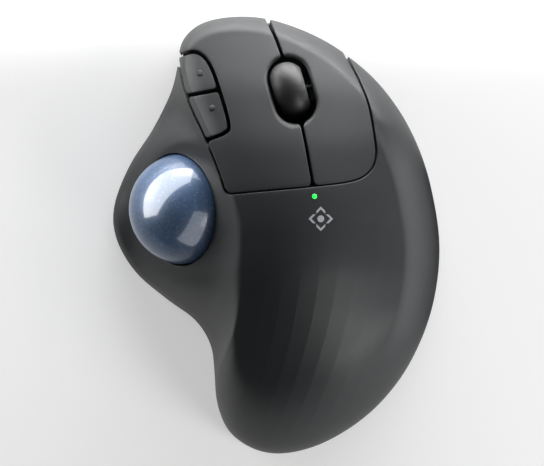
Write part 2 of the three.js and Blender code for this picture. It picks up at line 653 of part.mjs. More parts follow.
function makeBallUnit() {
  add('trackball', ballSphere(BALL_R), looks.ball);
  const profilePoints = [];
  const steps = 8;
  const rim = 0.2; // height of the cup's rim over the ball's centre
  for (let i = 0; i <= steps; i += 1) {
    const angle = mix(-Math.PI / 2, Math.asin(rim / CUP_OUTER), i / steps);
    profilePoints.push(new THREE.Vector2(CUP_OUTER * Math.cos(angle), CUP_OUTER * Math.sin(angle)));
  }
  for (let i = steps; i >= 0; i -= 1) {
    const angle = mix(-Math.PI / 2, Math.asin(rim / CUP_INNER), i / steps);
    profilePoints.push(new THREE.Vector2(CUP_INNER * Math.cos(angle), CUP_INNER * Math.sin(angle)));
  }
  profilePoints[0].x = 0;
  profilePoints[profilePoints.length - 1].x = 0;
  const lathe = new THREE.LatheGeometry(profilePoints, 28);
  lathe.rotateX(Math.PI / 2);
  let cup = solid(lathe, onBall(0));
  cup = cup.subtract(post(BALL_CENTRE.x, BALL_CENTRE.y, 0, 12, EJECT_R, 20));
  cup = cup.subtract(towardSensor(3, 8, BALL_R + 2, 20));
  cup = cup.subtract(thumbSpace(2.1, -2, 14, 6));
  for (let i = 0; i < 3; i += 1) {
    const pocket = new THREE.SphereGeometry(BEAD_R + 0.25, 12, 8);
    cup = cup.subtract(solid(pocket, place(...beadPlace(i))));
    add(`support_bead_${i + 1}`, new THREE.SphereGeometry(BEAD_R, 12, 8).applyMatrix4(place(...beadPlace(i))),
      looks.white);
  }
  add('ball_cup', cup, looks.dark);
  const lens = towardSensor(2.4, 2, BALL_R + 2.6, 20).add(
    solid(new THREE.BoxGeometry(8, 8, 1), onSensor(BALL_R + 4)));
  add('sensor_lens', lens, looks.clear);
  add('sensor_chip', solid(new THREE.BoxGeometry(7, 9, 1.6), onSensor(BALL_R + 5.7)), looks.label);
  add('sensor_board', solid(new THREE.BoxGeometry(11, 12, 1), onSensor(BALL_R + 7.4)), looks.board);
}

// ---------------------------------------------------------------- scroll wheel

function wheelLathe(profilePoints, sides) {
  const points = profilePoints.map(([radius, along]) => new THREE.Vector2(radius, along));
  return solid(new THREE.LatheGeometry([...points, points[0]], sides), onWheel(0, 0, 0, 0, 0, -Math.PI / 2));
}

function makeWheel() {
  const R = WHEEL_R;
  const inner = R - 2.8;
  const tyre = [[inner, -TYRE_HALF], [R - 1.9, -0.88 * TYRE_HALF], [R - 0.9, -0.68 * TYRE_HALF],
    [R - 0.25, -0.38 * TYRE_HALF], [R, 0], [R - 0.25, 0.38 * TYRE_HALF], [R - 0.9, 0.68 * TYRE_HALF],
    [R - 1.9, 0.88 * TYRE_HALF], [inner, TYRE_HALF]];
  add('wheel_tyre', wheelLathe(tyre, 26), looks.rubber);
  const rim = inner - CLEAR;
  const hub = [[1.3, -4], [3, -4], [3, -1], [rim - 1.6, -1], [rim - 1.6, -4], [rim, -4], [rim, 4],
    [rim - 1.6, 4], [rim - 1.6, 1], [3, 1], [3, 4], [1.3, 4]];
  add('wheel_hub', wheelLathe(hub, 24), looks.dark);
  const axle = new THREE.CylinderGeometry(1, 1, 19, 16);
  add('wheel_axle', solid(axle, onWheel(-1.4, 0, 0, 0, 0, Math.PI / 2)), looks.steel);
}

const CARRIAGE_REAR = -15;
const CARRIAGE_PIVOT_Z = -9.2;
const CARRIAGE_BAR = 10.8; // bar ahead of the wheel that presses the middle switch
function makeCarriage() {
  const part = (x, y, z, width, depth, height) =>
    solid(new THREE.BoxGeometry(width, depth, height), onWheel(x, y, z));
  let carriage = part(0, CARRIAGE_REAR, -8.4, 14.6, 3, 4.2);
  for (const side of [-1, 1]) {
    carriage = carriage.add(part(side * 6.5, -2.2, -4.7, 1.6, 28.6, 11.2));
    carriage = carriage.subtract(part(side * 6.5, 7.3, -3.3, 3, 11, 10)).subtract(
      part(side * 6.5, -12, 0.7, 3, 16, 10)).subtract(part(side * 6.5, 0, 2, 3, 2.2, 4));
  }
  carriage = carriage.add(part(0, CARRIAGE_BAR, -9.2, 14.6, 2.4, 2.2));
  const bore = new THREE.CylinderGeometry(1.3, 1.3, 30, 16);
  carriage = carriage.subtract(solid(bore, onWheel(0, 0, 0, 0, 0, Math.PI / 2)));
  const pin = new THREE.CylinderGeometry(0.95, 0.95, 20, 14);
  carriage = carriage.add(solid(pin, onWheel(0, CARRIAGE_REAR, CARRIAGE_PIVOT_Z, 0, 0, Math.PI / 2)));
  add('wheel_carriage', carriage, looks.white);
  const encoder = part(ENCODER_X, 0, -3.2, 3.6, 10, 10.4).subtract(
    solid(new THREE.CylinderGeometry(1.35, 1.35, 10, 16), onWheel(ENCODER_X, 0, 0, 0, 0, Math.PI / 2)));
  add('scroll_encoder', encoder, looks.board);
}

// ---------------------------------------------------------------- switches and electronics

const boardTop = BOARD_Z + BOARD_THICK;

// Switch body with a hole in its top for the plunger, and the plunger itself.
function makeSwitch(name, [x, y], z, width, depth, height, rise) {
  const bore = post(x, y, z + height - 1.6, z + height + 1, 1.25, 12);
  add(`${name}_switch`, block(x, y, z, z + height, width, depth).subtract(bore), looks.dark);
  add(`${name}_plunger`, post(x, y, z + height - 0.9, z + height + CLEAR + rise, 0.9, 12), looks.white);
}

function makeSwitches() {
  makeSwitch('left', LEFT_SWITCH, boardTop + CLEAR, 5.8, 12.8, SWITCH_HEIGHT, 0.9);
  makeSwitch('right', RIGHT_SWITCH, boardTop + CLEAR, 5.8, 12.8, SWITCH_HEIGHT, 0.9);
  const sideZ = SIDE_BOARD_Z + 1.2 + CLEAR;
  makeSwitch('forward', FORWARD_SWITCH, sideZ, 4.6, 4.6, 3, 0.8);
  makeSwitch('back', BACK_SWITCH, sideZ, 4.6, 4.6, 3, 0.8);
  const middle = new THREE.Vector3(0, CARRIAGE_BAR, 0).applyMatrix4(onWheel(0, 0, 0));
  const under = WHEEL_CENTRE.z - 10.3; // lowest face of the carriage
  const height = under - CLEAR - 0.6 - (boardTop + CLEAR);
  makeSwitch('middle', [middle.x, middle.y], boardTop + CLEAR, 6, 6, height, 0.6);
}

function makeBoards() {
  const board = prism([
    [-12, 12], [27, 12], [27, 40], [20, 53], [6, 59.6], [-10, 61], [-14.2, 58], [-14.2, 42], [-12, 38],
  ], BOARD_Z, boardTop);
  add('main_board', board, looks.board);
  add('controller_chip', block(14, 26, boardTop + CLEAR, boardTop + CLEAR + 1, 8, 8), looks.label);
  let sideBoard = block(-18.4, 43.2, SIDE_BOARD_Z, SIDE_BOARD_Z + 1.2, 7.6, 23);
  sideBoard = sideBoard.subtract(block(-23, 33, SIDE_BOARD_Z - 1, HIGH, 3, 4));
  add('side_button_board', sideBoard, looks.board);
}

// Flat cable from the sensor board to the main board.
function makeRibbon() {
  const start = new THREE.Vector3(-6.3, 7.2, 12);
  const route = new THREE.CatmullRomCurve3([
    start, new THREE.Vector3(-6.6, 10, 12), new THREE.Vector3(-6, 13.5, 11.8),
    new THREE.Vector3(-4.6, 17, 11.6),
  ]);
  const section = new THREE.Shape([[-3, -0.2], [3, -0.2], [3, 0.2], [-3, 0.2]]
    .map(([x, y]) => new THREE.Vector2(y, x)));
  const strip = new THREE.ExtrudeGeometry(section, { steps: 9, extrudePath: route });
  add('ribbon_cable', solid(strip), looks.ribbon);
}

function makeStatusLight() {
  const [x, y] = LIGHT;
  const top = topHeight(x, y) - 0.15;
  add('status_light', block(x, y, boardTop + CLEAR, boardTop + CLEAR + 1, 1.6, 1.6), looks.green);
  const guide = post(x, y, boardTop + 2 * CLEAR + 1, top, 0.62, 16)
    .add(post(x, y, boardTop + 2 * CLEAR + 1, top - SKIN - 3, 1, 16));
  add('light_guide', guide, looks.green);
}

function makeUnderControls() {
  const [px, py] = POWER;
  add('power_slider', prism(roundedRectangle(px - 1.5, py, 5.4, 3.6, 0.8), FLOOR_BOTTOM + 0.3, 3.4), looks.white);
  add('power_switch', block(px, py, 3.7, BOARD_Z - CLEAR, 9, 4), looks.steel);
  const [bx, by] = PAIRING;
  add('pairing_button', post(bx, by, FLOOR_BOTTOM + 0.3, 3.4, 2.4, 20), looks.dark);
  add('pairing_switch', block(bx, by, 4.1, BOARD_Z - CLEAR, 5, 5), looks.steel);
}

// ---------------------------------------------------------------- battery and receiver

function makeBattery() {
  const along = (radius, y0, y1, sides = 28) => {
    const geometry = new THREE.CylinderGeometry(radius, radius, y1 - y0, sides);
    return solid(geometry, place(CELL_X, (y0 + y1) / 2, CELL_Z));
  };
  const nub = 1.4;
  const front = CELL_REAR + CELL_LENGTH;
  add('battery_cell', along(CELL_R, CELL_REAR, front - nub).add(along(2.7, front - nub - 0.5, front)),
    looks.label);
  const plate = solid(new THREE.BoxGeometry(10, 0.4, 9), place(CELL_X, front + 0.8, CELL_Z));
  const dimple = new THREE.CylinderGeometry(2, 2.4, 0.6, 20);
  add('positive_contact', plate.add(solid(dimple, place(CELL_X, front + 0.6, CELL_Z))), looks.brass);
  const turns = 3.5;
  class Coil extends THREE.Curve {
    getPoint(t, target = new THREE.Vector3()) {
      const angle = t * turns * 2 * Math.PI;
      const radius = mix(4.6, 2.6, t);
      return target.set(
        CELL_X + radius * Math.cos(angle), mix(-52.2, CELL_REAR - 0.8, t), CELL_Z + radius * Math.sin(angle));
    }
  }
  const wire = new THREE.Shape();
  wire.absarc(0, 0, 0.4, 0, 2 * Math.PI);
  const coil = new THREE.ExtrudeGeometry(wire, { steps: 44, curveSegments: 3, extrudePath: new Coil() });
  add('negative_spring', solid(coil), looks.steel);
}

function makeReceiver() {
  const [x, z] = [21.8, 6.2];
  let plug = solid(new THREE.BoxGeometry(12, 12, 4.5), place(x, -7.5, z));
  plug = plug.subtract(solid(new THREE.BoxGeometry(11.2, 9, 2), place(x, -3.4, z + 0.9)));
  for (const side of [-1, 1]) {
    plug = plug.subtract(solid(new THREE.BoxGeometry(2, 2.2, 2), place(x + side * 2.6, -5, z - 2.4)));
  }
  add('receiver_plug', plug, looks.steel);
  const cap = prism(roundedRectangle(x, -17.2, 13, 6.6, 1.4), z - 2.8, z + 2.8);
  add('receiver_cap', cap, looks.dark);
}

makeMainShell();
makeMainButtons();
makeSideButtons();
makeBase();
makeDoor();
makeFeetAndScrews();
makeBallUnit();
makeWheel();
makeCarriage();
makeSwitches();
makeBoards();
makeRibbon();
makeStatusLight();
makeUnderControls();
makeBattery();
makeReceiver();

export default model;
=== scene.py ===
# %% [markdown]
# # A thumb trackball mouse, finished in Blender
#
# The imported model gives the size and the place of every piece, and how the pieces move. This lesson
# gives the pieces their looks: smooth mouldings with rounded seams, a pearly ball, a rubber wheel.
# The CAD mouldings are coarse, so each visible one gets a fine copy worked out from formulas, which
# follows the CAD's surface and seams to about 1.5 mm. Every other piece keeps its CAD mesh, or
# gets a bevelled copy of it, and a finish.

# %% Load the frame
import json
import math

import bmesh
import bpy
import numpy as np
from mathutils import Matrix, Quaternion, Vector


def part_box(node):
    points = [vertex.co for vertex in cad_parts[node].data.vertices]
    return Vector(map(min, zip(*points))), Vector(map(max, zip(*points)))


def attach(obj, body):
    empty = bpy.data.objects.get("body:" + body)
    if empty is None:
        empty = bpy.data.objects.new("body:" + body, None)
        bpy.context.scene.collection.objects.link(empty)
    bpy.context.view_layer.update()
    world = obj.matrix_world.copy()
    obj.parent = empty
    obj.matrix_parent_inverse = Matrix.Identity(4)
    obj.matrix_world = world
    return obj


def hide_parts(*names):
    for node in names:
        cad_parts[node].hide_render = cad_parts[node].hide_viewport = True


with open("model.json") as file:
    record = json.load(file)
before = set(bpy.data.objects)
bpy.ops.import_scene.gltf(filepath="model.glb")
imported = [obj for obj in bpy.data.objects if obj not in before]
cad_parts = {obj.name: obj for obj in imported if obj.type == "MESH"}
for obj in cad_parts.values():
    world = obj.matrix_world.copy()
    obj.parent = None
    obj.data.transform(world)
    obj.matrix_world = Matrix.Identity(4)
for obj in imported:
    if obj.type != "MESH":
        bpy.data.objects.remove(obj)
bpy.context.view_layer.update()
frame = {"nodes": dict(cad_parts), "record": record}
nodes = frame["nodes"]
MM = 0.001

# %% [markdown]
# ## Camera and floor
#
# A mouse is usually shown from straight above through a long lens, so that its outline is true.
# The floor is a sheet of pale paper that glows a little, so that it stays white to its edges. It
# also fills the dark plastic's steep sides with light from below.

# %% Camera and floor
VIEW_WIDTH = 0.1675      # width of the field in metres
VIEW_CENTRE = (-0.0014, 0.0006)
CAMERA_HEIGHT = 3.0
SENSOR = 36.0            # sensor width in millimetres

camera = bpy.data.objects.new("camera", bpy.data.cameras.new("camera"))
camera.location = (*VIEW_CENTRE, CAMERA_HEIGHT)
camera.data.sensor_width = SENSOR
camera.data.lens = SENSOR * CAMERA_HEIGHT / VIEW_WIDTH
camera.data.clip_end = 20
bpy.context.scene.collection.objects.link(camera)
bpy.context.scene.camera = camera


def simple_material(name, color, roughness):
    """A material with one Principled shader of constant values."""
    made = bpy.data.materials.new(name)
    made.use_nodes = True
    shader = made.node_tree.nodes["Principled BSDF"]
    shader.inputs["Base Color"].default_value = (*color, 1)
    shader.inputs["Roughness"].default_value = roughness
    return made


FLOOR_HALF = 3.0
FLOOR_GREY, FLOOR_ROUGHNESS, FLOOR_GLOW = 0.66, 0.8, 0.42
floor = bpy.data.objects.new("floor", bpy.data.meshes.new("floor"))
floor_corners = [(x * FLOOR_HALF, y * FLOOR_HALF, 0) for x, y in ((-1, -1), (1, -1), (1, 1), (-1, 1))]
floor.data.from_pydata(floor_corners, [], [(0, 1, 2, 3)])
floor_paper = simple_material("floor_paper", (FLOOR_GREY,) * 3, FLOOR_ROUGHNESS)
paper_inputs = floor_paper.node_tree.nodes["Principled BSDF"].inputs
paper_inputs["Emission Color"].default_value = (1, 1, 1, 1)
paper_inputs["Emission Strength"].default_value = FLOOR_GLOW
floor.data.materials.append(floor_paper)
bpy.context.scene.collection.objects.link(floor)

# %% [markdown]
# ## Lamps
#
# Three softboxes light everything: a wide low one ahead for the slope of brightness on the buttons,
# a small one for the thumb side and a strip for the right flank.
#
# Three more have one receiver each, as if flags kept them off the rest. A window and a low card
# show in the ball's gloss alone. A wash lights the paper just ahead, and the paper then lights the
# steep front edge from below.

# %% Softboxes and room
def softbox(name, place, width, height, power, aim=(0, 0, 0.02), roll=0):
    """A rectangular lamp at a place, facing a point and rolled about its own axis by degrees."""
    lamp = bpy.data.lights.new(name, "AREA")
    lamp.shape = "RECTANGLE"
    lamp.size, lamp.size_y, lamp.energy = width, height, power
    holder = bpy.data.objects.new(name, lamp)
    holder.location = place
    away = holder.location - type(holder.location)(aim)
    turn = Quaternion((0, 0, 1), math.radians(roll))
    holder.rotation_euler = (away.to_track_quat("Z", "Y") @ turn).to_euler()
    bpy.context.scene.collection.objects.link(holder)
    return holder


softbox("front_softbox", (0.25, 0.82, 0.16), 1.25, 0.32, 17.0)
softbox("left_softbox", (-0.52, 0.28, 0.12), 0.34, 0.24, 1.7)
softbox("right_strip", (0.66, -0.42, 0.30), 0.35, 0.80, 5.0)
window = softbox("window_softbox", (-0.27, 0.25, 0.215), 1.10, 0.43, 42.0, aim=(-0.028, 0.008, 0.215))
low_card = softbox("low_card", (0.20, -0.40, 0.41), 0.90, 0.44, 8.0, aim=(-0.03, 0.008, 0.03), roll=38)
lit_by_window = bpy.data.collections.new("lit_by_window")
for lamp in (window, low_card):
    lamp.visible_diffuse = False
    lamp.light_linking.receiver_collection = lit_by_window
WASH_SPREAD = 70         # degrees
wash = softbox("floor_wash", (0.06, 0.18, 0.10), 0.36, 0.14, 2.4, aim=(0.06, 0.18, 0))
wash.data.spread = math.radians(WASH_SPREAD)
lit_by_wash = bpy.data.collections.new("lit_by_wash")
lit_by_wash.objects.link(floor)
wash.light_linking.receiver_collection = lit_by_wash

ROOM_LIGHT = 0.12
world = bpy.data.worlds.new("studio")
world.use_nodes = True
room = world.node_tree.nodes["Background"].inputs
room["Color"].default_value = (1, 1, 1, 1)
room["Strength"].default_value = ROOM_LIGHT
bpy.context.scene.world = world
bpy.context.scene.view_settings.view_transform = "Standard"

# %% [markdown]
# ## The outline and the curves on the top
#
# All mouldings share one plan outline and one outer surface. The outline is a smooth closed curve
# through a few points. Everything that is measured along it or across it is softened a little, as
# a real tool is polished, so that highlights run without kinks. Lengths here are in millimetres.


# %% Curves in plan
def spline(points, closed, per_span=40):
    """Points on a uniform Catmull-Rom curve: each span is a cubic through its two ends whose
    slope at a point is half the step between the point's neighbours."""
    p = np.array(points, float)
    if closed:
        before, after, far = np.roll(p, 1, 0), np.roll(p, -1, 0), np.roll(p, -2, 0)
        start = p
    else:
        padded = np.vstack([2 * p[0] - p[1], p, 2 * p[-1] - p[-2]])
        before, start, after, far = padded[:-3], padded[1:-2], padded[2:-1], padded[3:]
    t = (np.arange(per_span) / per_span)[None, :, None]
    b, s, a, f = (v[:, None, :] for v in (before, start, after, far))
    cubic = s + 0.5 * t * (a - b) + t ** 2 * (b - 2.5 * s + 2 * a - 0.5 * f)
    curve = (cubic + 0.5 * t ** 3 * (3 * s - b - 3 * a + f)).reshape(-1, 2)
    return curve if closed else np.vstack([curve, p[-1]])


def softened(values, spread):
    """Values blurred by a bell curve of that many samples, with both ends held."""
    reach = int(4 * spread)
    bell = np.exp(-0.5 * (np.arange(-reach, reach + 1) / spread) ** 2)
    held = np.concatenate([np.full(reach, values[0]), values, np.full(reach, values[-1])])
    return np.convolve(held, bell / bell.sum(), "valid")


def profile(pairs, spread):
    """A smooth function through (place, value) pairs: straight pieces, blurred over a distance."""
    places, values = np.array(pairs, float).T
    dense = np.linspace(places[0] - 3 * spread, places[-1] + 3 * spread, 1200)
    step = dense[1] - dense[0]
    blurred = softened(np.interp(dense, places, values), spread / step)
    return lambda t: np.interp(t, dense, blurred)


def smoothstep(t, low, high):
    """Rises from 0 at low to 1 at high as 3 u squared less 2 u cubed."""
    u = np.clip((t - low) / (high - low), 0, 1)
    return u * u * (3 - 2 * u)


def mix(a, b, t):
    """The value t of the way from a to b."""
    return a + (b - a) * t


OUTLINE = [
    (50.1, -3), (48.2, 11.4), (44.4, 25), (37.9, 38), (28.4, 49.6), (14.9, 59.5),
    (0, 65.6), (-12, 67), (-23, 64.9), (-29, 59.4), (-30.4, 52), (-32.4, 44),
    (-38, 32.6), (-45.2, 21.3), (-49.9, 9), (-49.3, -1), (-43.5, -11.2), (-34, -19.5),
    (-25, -26.2), (-20.2, -34), (-19, -43), (-18.3, -51.5), (-14.5, -60.5), (-6, -66.2),
    (4, -67), (16, -63.2), (28.5, -54.9), (38.2, -43.9), (45, -31), (48.9, -17.5),
]
CENTRE = np.array([4, -1.5])
outline_curve = spline(OUTLINE, True) - CENTRE
ANGLES = np.linspace(-math.pi, math.pi, 2881)
bearing, distance = np.arctan2(*outline_curve.T[::-1]), np.hypot(*outline_curve.T)
spokes = np.interp(ANGLES, bearing, distance, period=2 * math.pi)
ONCE_ROUND = len(ANGLES) - 1
POLISH = 9               # blur of the outline, in steps of ANGLES
wrapped = np.tile(spokes[:-1], 3)
SPOKES = softened(wrapped, POLISH)[ONCE_ROUND:2 * ONCE_ROUND + 1]


def spoke(angle):
    """Distance from the centre to the outline in one direction."""
    return np.interp(angle, ANGLES, SPOKES, period=2 * math.pi)


def rim_point(angle):
    """Point of the outline in one direction from the centre."""
    return CENTRE + spoke(angle)[..., None] * np.stack([np.cos(angle), np.sin(angle)], -1)


def inward(x, y):
    """Distance in from the outline, measured towards the centre."""
    dx, dy = x - CENTRE[0], y - CENTRE[1]
    return spoke(np.arctan2(dy, dx)) - np.hypot(dx, dy)


outline_dense = rim_point(ANGLES)
print("outline in mm:", outline_dense.min(0).round(1), outline_dense.max(0).round(1))

# %% [markdown]
# ## The crease
#
# The crease is the ridge between the top and the thumb side. Both it and the left edge of the
# outline are wanted as x for a given y, so the thumb side can be spanned between them.

# %% Crease and left edge, as functions of y
CREASE = [
    (-31.4, 58), (-29.7, 54.5), (-27, 43.1), (-21.4, 30.2), (-18.3, 20.9), (-15.6, 12),
    (-12.6, 0), (-11.9, -11.4), (-12.4, -24.6), (-15.2, -36.3), (-18.2, -44), (-21.5, -50),
]
crease_curve = spline(CREASE, False)[::-1]
LEFT_SIDE = (outline_dense[:, 0] < CENTRE[0] - 12) & (np.abs(outline_dense[:, 1]) < 61)
left_curve = outline_dense[LEFT_SIDE]
left_curve = left_curve[np.argsort(left_curve[:, 1])]


def crease_x(y):
    """Where the crease runs at one y."""
    return np.interp(y, crease_curve[:, 1], crease_curve[:, 0])


def left_x(y):
    """Where the outline's left side runs at one y."""
    return np.interp(y, left_curve[:, 1], left_curve[:, 0])


# %% [markdown]
# ## The outer surface
#
# The top is a crown: highest along a line from front to rear and falling to both sides. Its edge
# rolls over like a quarter of an ellipse, wide at the heel and tight at the front. Along the right
# flank the roll turns into a groove for the fourth and fifth finger. The thumb side is a slanted,
# slightly hollow wall that rises from a thin flange to the crease, and swells into a flat collar
# around the ball. The lower of the two surfaces wins, with a soft corner between them.

# %% Top and thumb side
SHELL_BOTTOM = 3.1
EDGE_R = 0.25            # rounding of every seam
ROLL_BASE = SHELL_BOTTOM + EDGE_R
CROWN_HEIGHT = [
    (-67, 24), (-55, 31.2), (-40, 38.8), (-25, 44.4), (-10, 47.6), (3, 47.8), (14, 46.4),
    (28, 42), (45, 33.6), (58, 25.4), (67, 19.2),
]
ROLL_WIDTH = [
    (-180, 3), (-150, 4), (-130, 9), (-112, 17), (-90, 24), (-50, 19), (0, 11), (45, 9),
    (80, 6), (110, 5), (135, 3.5), (180, 3),
]
FALL_REAR, FALL_FRONT = 0.0125, 0.007
FALL_SPAN = (5, 50)
RIDGE_LEAN = 0.05        # how far the ridge moves left per millimetre forward
GROOVE_WIDTH = 11
GROOVE_SLOPE = 0.25      # slope that the groove keeps at both its ends
GROOVE_SPAN = (-42, -20, 16, 36)
crown_height = profile(CROWN_HEIGHT, 3.5)
roll_width = profile(ROLL_WIDTH, 6)


def crown(x, y):
    """Height of the top without its edge: the ridge's height less a parabola across it."""
    fall = mix(FALL_REAR, FALL_FRONT, smoothstep(y, *FALL_SPAN))
    return crown_height(y) - fall * (x + RIDGE_LEAN * y) ** 2


def top_height(x, y, edge_level=ROLL_BASE):
    """The crown, brought down to the shell's bottom edge over the width of the rolled edge. With a
    higher edge level the roll moves out, so that it reaches that level at the outline."""
    angle = np.arctan2(y - CENTRE[1], x - CENTRE[0])
    width = roll_width(np.degrees(angle))
    rise = (edge_level - ROLL_BASE) / (crown(x, y) - ROLL_BASE)
    depth = inward(x, y) + width * (1 - np.sqrt(1 - np.clip(rise, 0, 1) ** 2))
    t = np.clip(depth / width, 0, 1)
    rounded = np.sqrt(1 - (1 - t) ** 2)
    s = np.clip(depth / GROOVE_WIDTH, 0, 1)
    groove = GROOVE_SLOPE * s + (1 - GROOVE_SLOPE) * s * s * (3 - 2 * s)
    a, b, c, d = GROOVE_SPAN
    amount = np.where(x > CENTRE[0], smoothstep(y, a, b) * (1 - smoothstep(y, c, d)), 0)
    return ROLL_BASE + (crown(x, y) - ROLL_BASE) * mix(rounded, groove, amount)


BALL_R = 17.0
OPENING_R = 17.25
OPENING_OFFSET = 2.75    # how far the opening's plane lies outside the ball's centre
COLLAR_SPAN = (19.5, 31)
BALL_TILT, BALL_LEAN = math.radians(48), math.radians(4.6)
ball_low, ball_high = (np.array(corner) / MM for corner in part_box("trackball"))
BALL_CENTRE = (ball_low + ball_high) / 2
opening = np.array([-math.sin(BALL_TILT), -math.sin(BALL_LEAN), math.cos(BALL_TILT)])
opening /= np.linalg.norm(opening)
FLANGE_TOP = 5.0
FLANGE_ROLL = 1.7
THUMB_HOLLOW = 0.2
NARROWEST_WALL = 0.8
CORNER_REAR, CORNER_FRONT, CORNER_SPAN = 1.8, 0.5, (4, 14)
print("ball centre in mm:", BALL_CENTRE.round(2))


def thumb_height(x, y):
    """The wall from the flange to the crease, blended into the opening's plane near the ball."""
    left, edge = left_x(y), crease_x(y)
    run = np.maximum(edge - left, NARROWEST_WALL)
    u = np.maximum((x - left) / run, 0)
    wall = FLANGE_TOP + (crown(edge, y) - FLANGE_TOP) * (u + THUMB_HOLLOW * (u * u - u))
    dx, dy = x - BALL_CENTRE[0], y - BALL_CENTRE[1]
    plane = BALL_CENTRE[2] + (OPENING_OFFSET - opening[0] * dx - opening[1] * dy) / opening[2]
    reach = np.hypot(dx / math.cos(BALL_TILT), dy)
    side = mix(plane, wall, smoothstep(reach, *COLLAR_SPAN))
    t = np.clip(inward(x, y) / FLANGE_ROLL, 0, 1)
    return ROLL_BASE + (side - ROLL_BASE) * np.sqrt(1 - (1 - t) ** 2)


def soft_minimum(a, b, width):
    """The lower of two heights, with a parabola across the corner between them."""
    h = np.maximum(width - np.abs(a - b), 0) / width
    return np.minimum(a, b) - h * h * width / 4


def shell_height(x, y):
    """The main shell's outer surface, with the fine bands across the palm."""
    corner = mix(CORNER_REAR, CORNER_FRONT, smoothstep(y, *CORNER_SPAN))
    return soft_minimum(top_height(x, y) + palm_bands(x, y), thumb_height(x, y), corner)


# %% [markdown]
# ## Bands across the palm
#
# The palm rest has shallow bands that fan out towards the heel: each is a slightly flatter strip,
# so the curved surface turns into a few facets that catch the light one after another. Band
# number q is the distance across the bands over their spacing; its whole numbers are the edges.

# %% Band relief
BAND_DEPTH, BAND_STEP = 0.06, 0.025
FIRST_EDGE = (-0.6, 0.2, -0.0035)
SPACING, SPACING_GROWTH = 5.3, 0.0175
FAN_START = 30           # how far behind the middle
FADE_LEAN, FADE_AHEAD = 0.55, (-26, -11)
FADE_CREASE, FADE_EDGE = (1.5, 8), (2, 9)


def palm_bands(x, y):
    """Flattens the surface between band edges by a parabola, with a small step at each edge."""
    back = y + FAN_START
    first_edge = FIRST_EDGE[0] + FIRST_EDGE[1] * back + FIRST_EDGE[2] * back ** 2
    q = (x - first_edge) / (SPACING + SPACING_GROWTH * back)
    f = q - np.floor(q)
    relief = -BAND_DEPTH * 4 * f * (1 - f) + BAND_STEP * (f - 0.5)
    shown = 1 - smoothstep(y - FADE_LEAN * x, *FADE_AHEAD)
    shown = shown * smoothstep(x - crease_x(y), *FADE_CREASE)
    return relief * shown * smoothstep(inward(x, y), *FADE_EDGE)

# %% [markdown]
# ## Seams as distance fields
#
# The top is split by curved seams into a main shell, two long buttons and two small thumb buttons.
# A seam could be cut with booleans, but that leaves ragged edges on a curved skin. Here each seam
# is a signed distance: positive on one side of a curve, negative on the other. A piece is where
# all its distances are positive, and a soft minimum of them rounds its corners. Beside the thumb
# buttons the seam lies up to 1.2 mm outside the crease, so that the ridge belongs to them.

# %% Signed distance to a curve
CHUNK = 8000             # points worked on at once
REAR_SEAM = [
    (-26, 11), (-15.6, 12), (11.2, 14.5), (23.6, 16.3), (28.8, 19.4), (30.6, 24),
    (30.3, 29.3), (28.5, 39.4), (25.7, 47.1), (21.7, 55.1), (12, 75),
]
FRONT_CREASE = [
    (-42.6, 79), (-37.7, 68.5), (-32.6, 58), (-30.9, 54.5), (-28.2, 43.1), (-22.5, 30.2),
    (-18.5, 20.9), (-15.6, 12), (-12.6, 0),
]
SPLIT = [(-6.5, 75), (-2.6, 65.9), (2, 53.9), (7.5, 34.2), (11.2, 14.5), (12.6, 5)]
SIDE_EDGE = [
    (-48, 54.9), (-36, 55.2), (-29.4, 55.3), (-24.4, 55.9), (-20.7, 52.6), (-17.7, 45),
    (-14.6, 34), (-15.9, 31), (-21.4, 28.9), (-26, 27.5), (-40, 23.5),
]
SIDE_SPLIT = [(-34, 41.2), (-30, 42.1), (-26.6, 42.6), (-14, 44.9), (-6, 46.5)]


def seam_field(points, inside, per_span=12):
    """Signed distance to a curve: to its nearest segment, positive on the side of one point."""
    line = spline(points, False, per_span)
    start, run = line[:-1], np.diff(line, axis=0)
    length2 = (run ** 2).sum(1)

    def signed(x, y):
        px, py = x[:, None] - start[:, 0], y[:, None] - start[:, 1]
        t = np.clip((px * run[:, 0] + py * run[:, 1]) / length2, 0, 1)
        gap2 = (px - t * run[:, 0]) ** 2 + (py - t * run[:, 1]) ** 2
        nearest = gap2.argmin(1)[:, None]
        turn = np.take_along_axis(run[:, 0] * py - run[:, 1] * px, nearest, 1)[:, 0]
        return np.sqrt(np.take_along_axis(gap2, nearest, 1)[:, 0]) * np.where(turn < 0, -1, 1)

    side = signed(np.array([inside[0]], float), np.array([inside[1]], float))[0]
    flip = 1 if side > 0 else -1

    def field(x, y):
        """The signed distance for arrays of any shape."""
        flat_x, flat_y = np.ravel(x), np.ravel(y)
        starts = range(0, len(flat_x), CHUNK)
        chunks = [signed(flat_x[i:i + CHUNK], flat_y[i:i + CHUNK]) for i in starts]
        return flip * np.concatenate(chunks).reshape(np.shape(x))

    return field


BUTTON_SIDE = (0, 40)
AREA_CORNER = 2.0
beside_crease = seam_field(FRONT_CREASE, BUTTON_SIDE)
ahead_of_seam = seam_field(REAR_SEAM, BUTTON_SIDE)
left_of_split = seam_field(SPLIT, (-8, 40))
outside_thumb_buttons = seam_field(SIDE_EDGE, (-8, 40))
ahead_of_thumb_split = seam_field(SIDE_SPLIT, (-22, 50))


def button_field(x, y):
    """Distance into the area of all four buttons."""
    return soft_minimum(beside_crease(x, y), ahead_of_seam(x, y), AREA_CORNER)

# %% [markdown]
# ## Openings as distance fields
#
# The wheel's slot and the ball's opening are distances too. The slot is a stadium in plan. The
# opening is a cylinder about a slanted axis, so its edge on the collar is a true circle.

# %% Wheel slot and ball opening
BELOW_OPENING = -6       # depth along the opening's axis under which nothing is cut
SLOT_CENTRE = (4.6, 44)
WHEEL_YAW = math.radians(16)
SLOT_LENGTH, SLOT_WIDTH = 20.4, 12.2


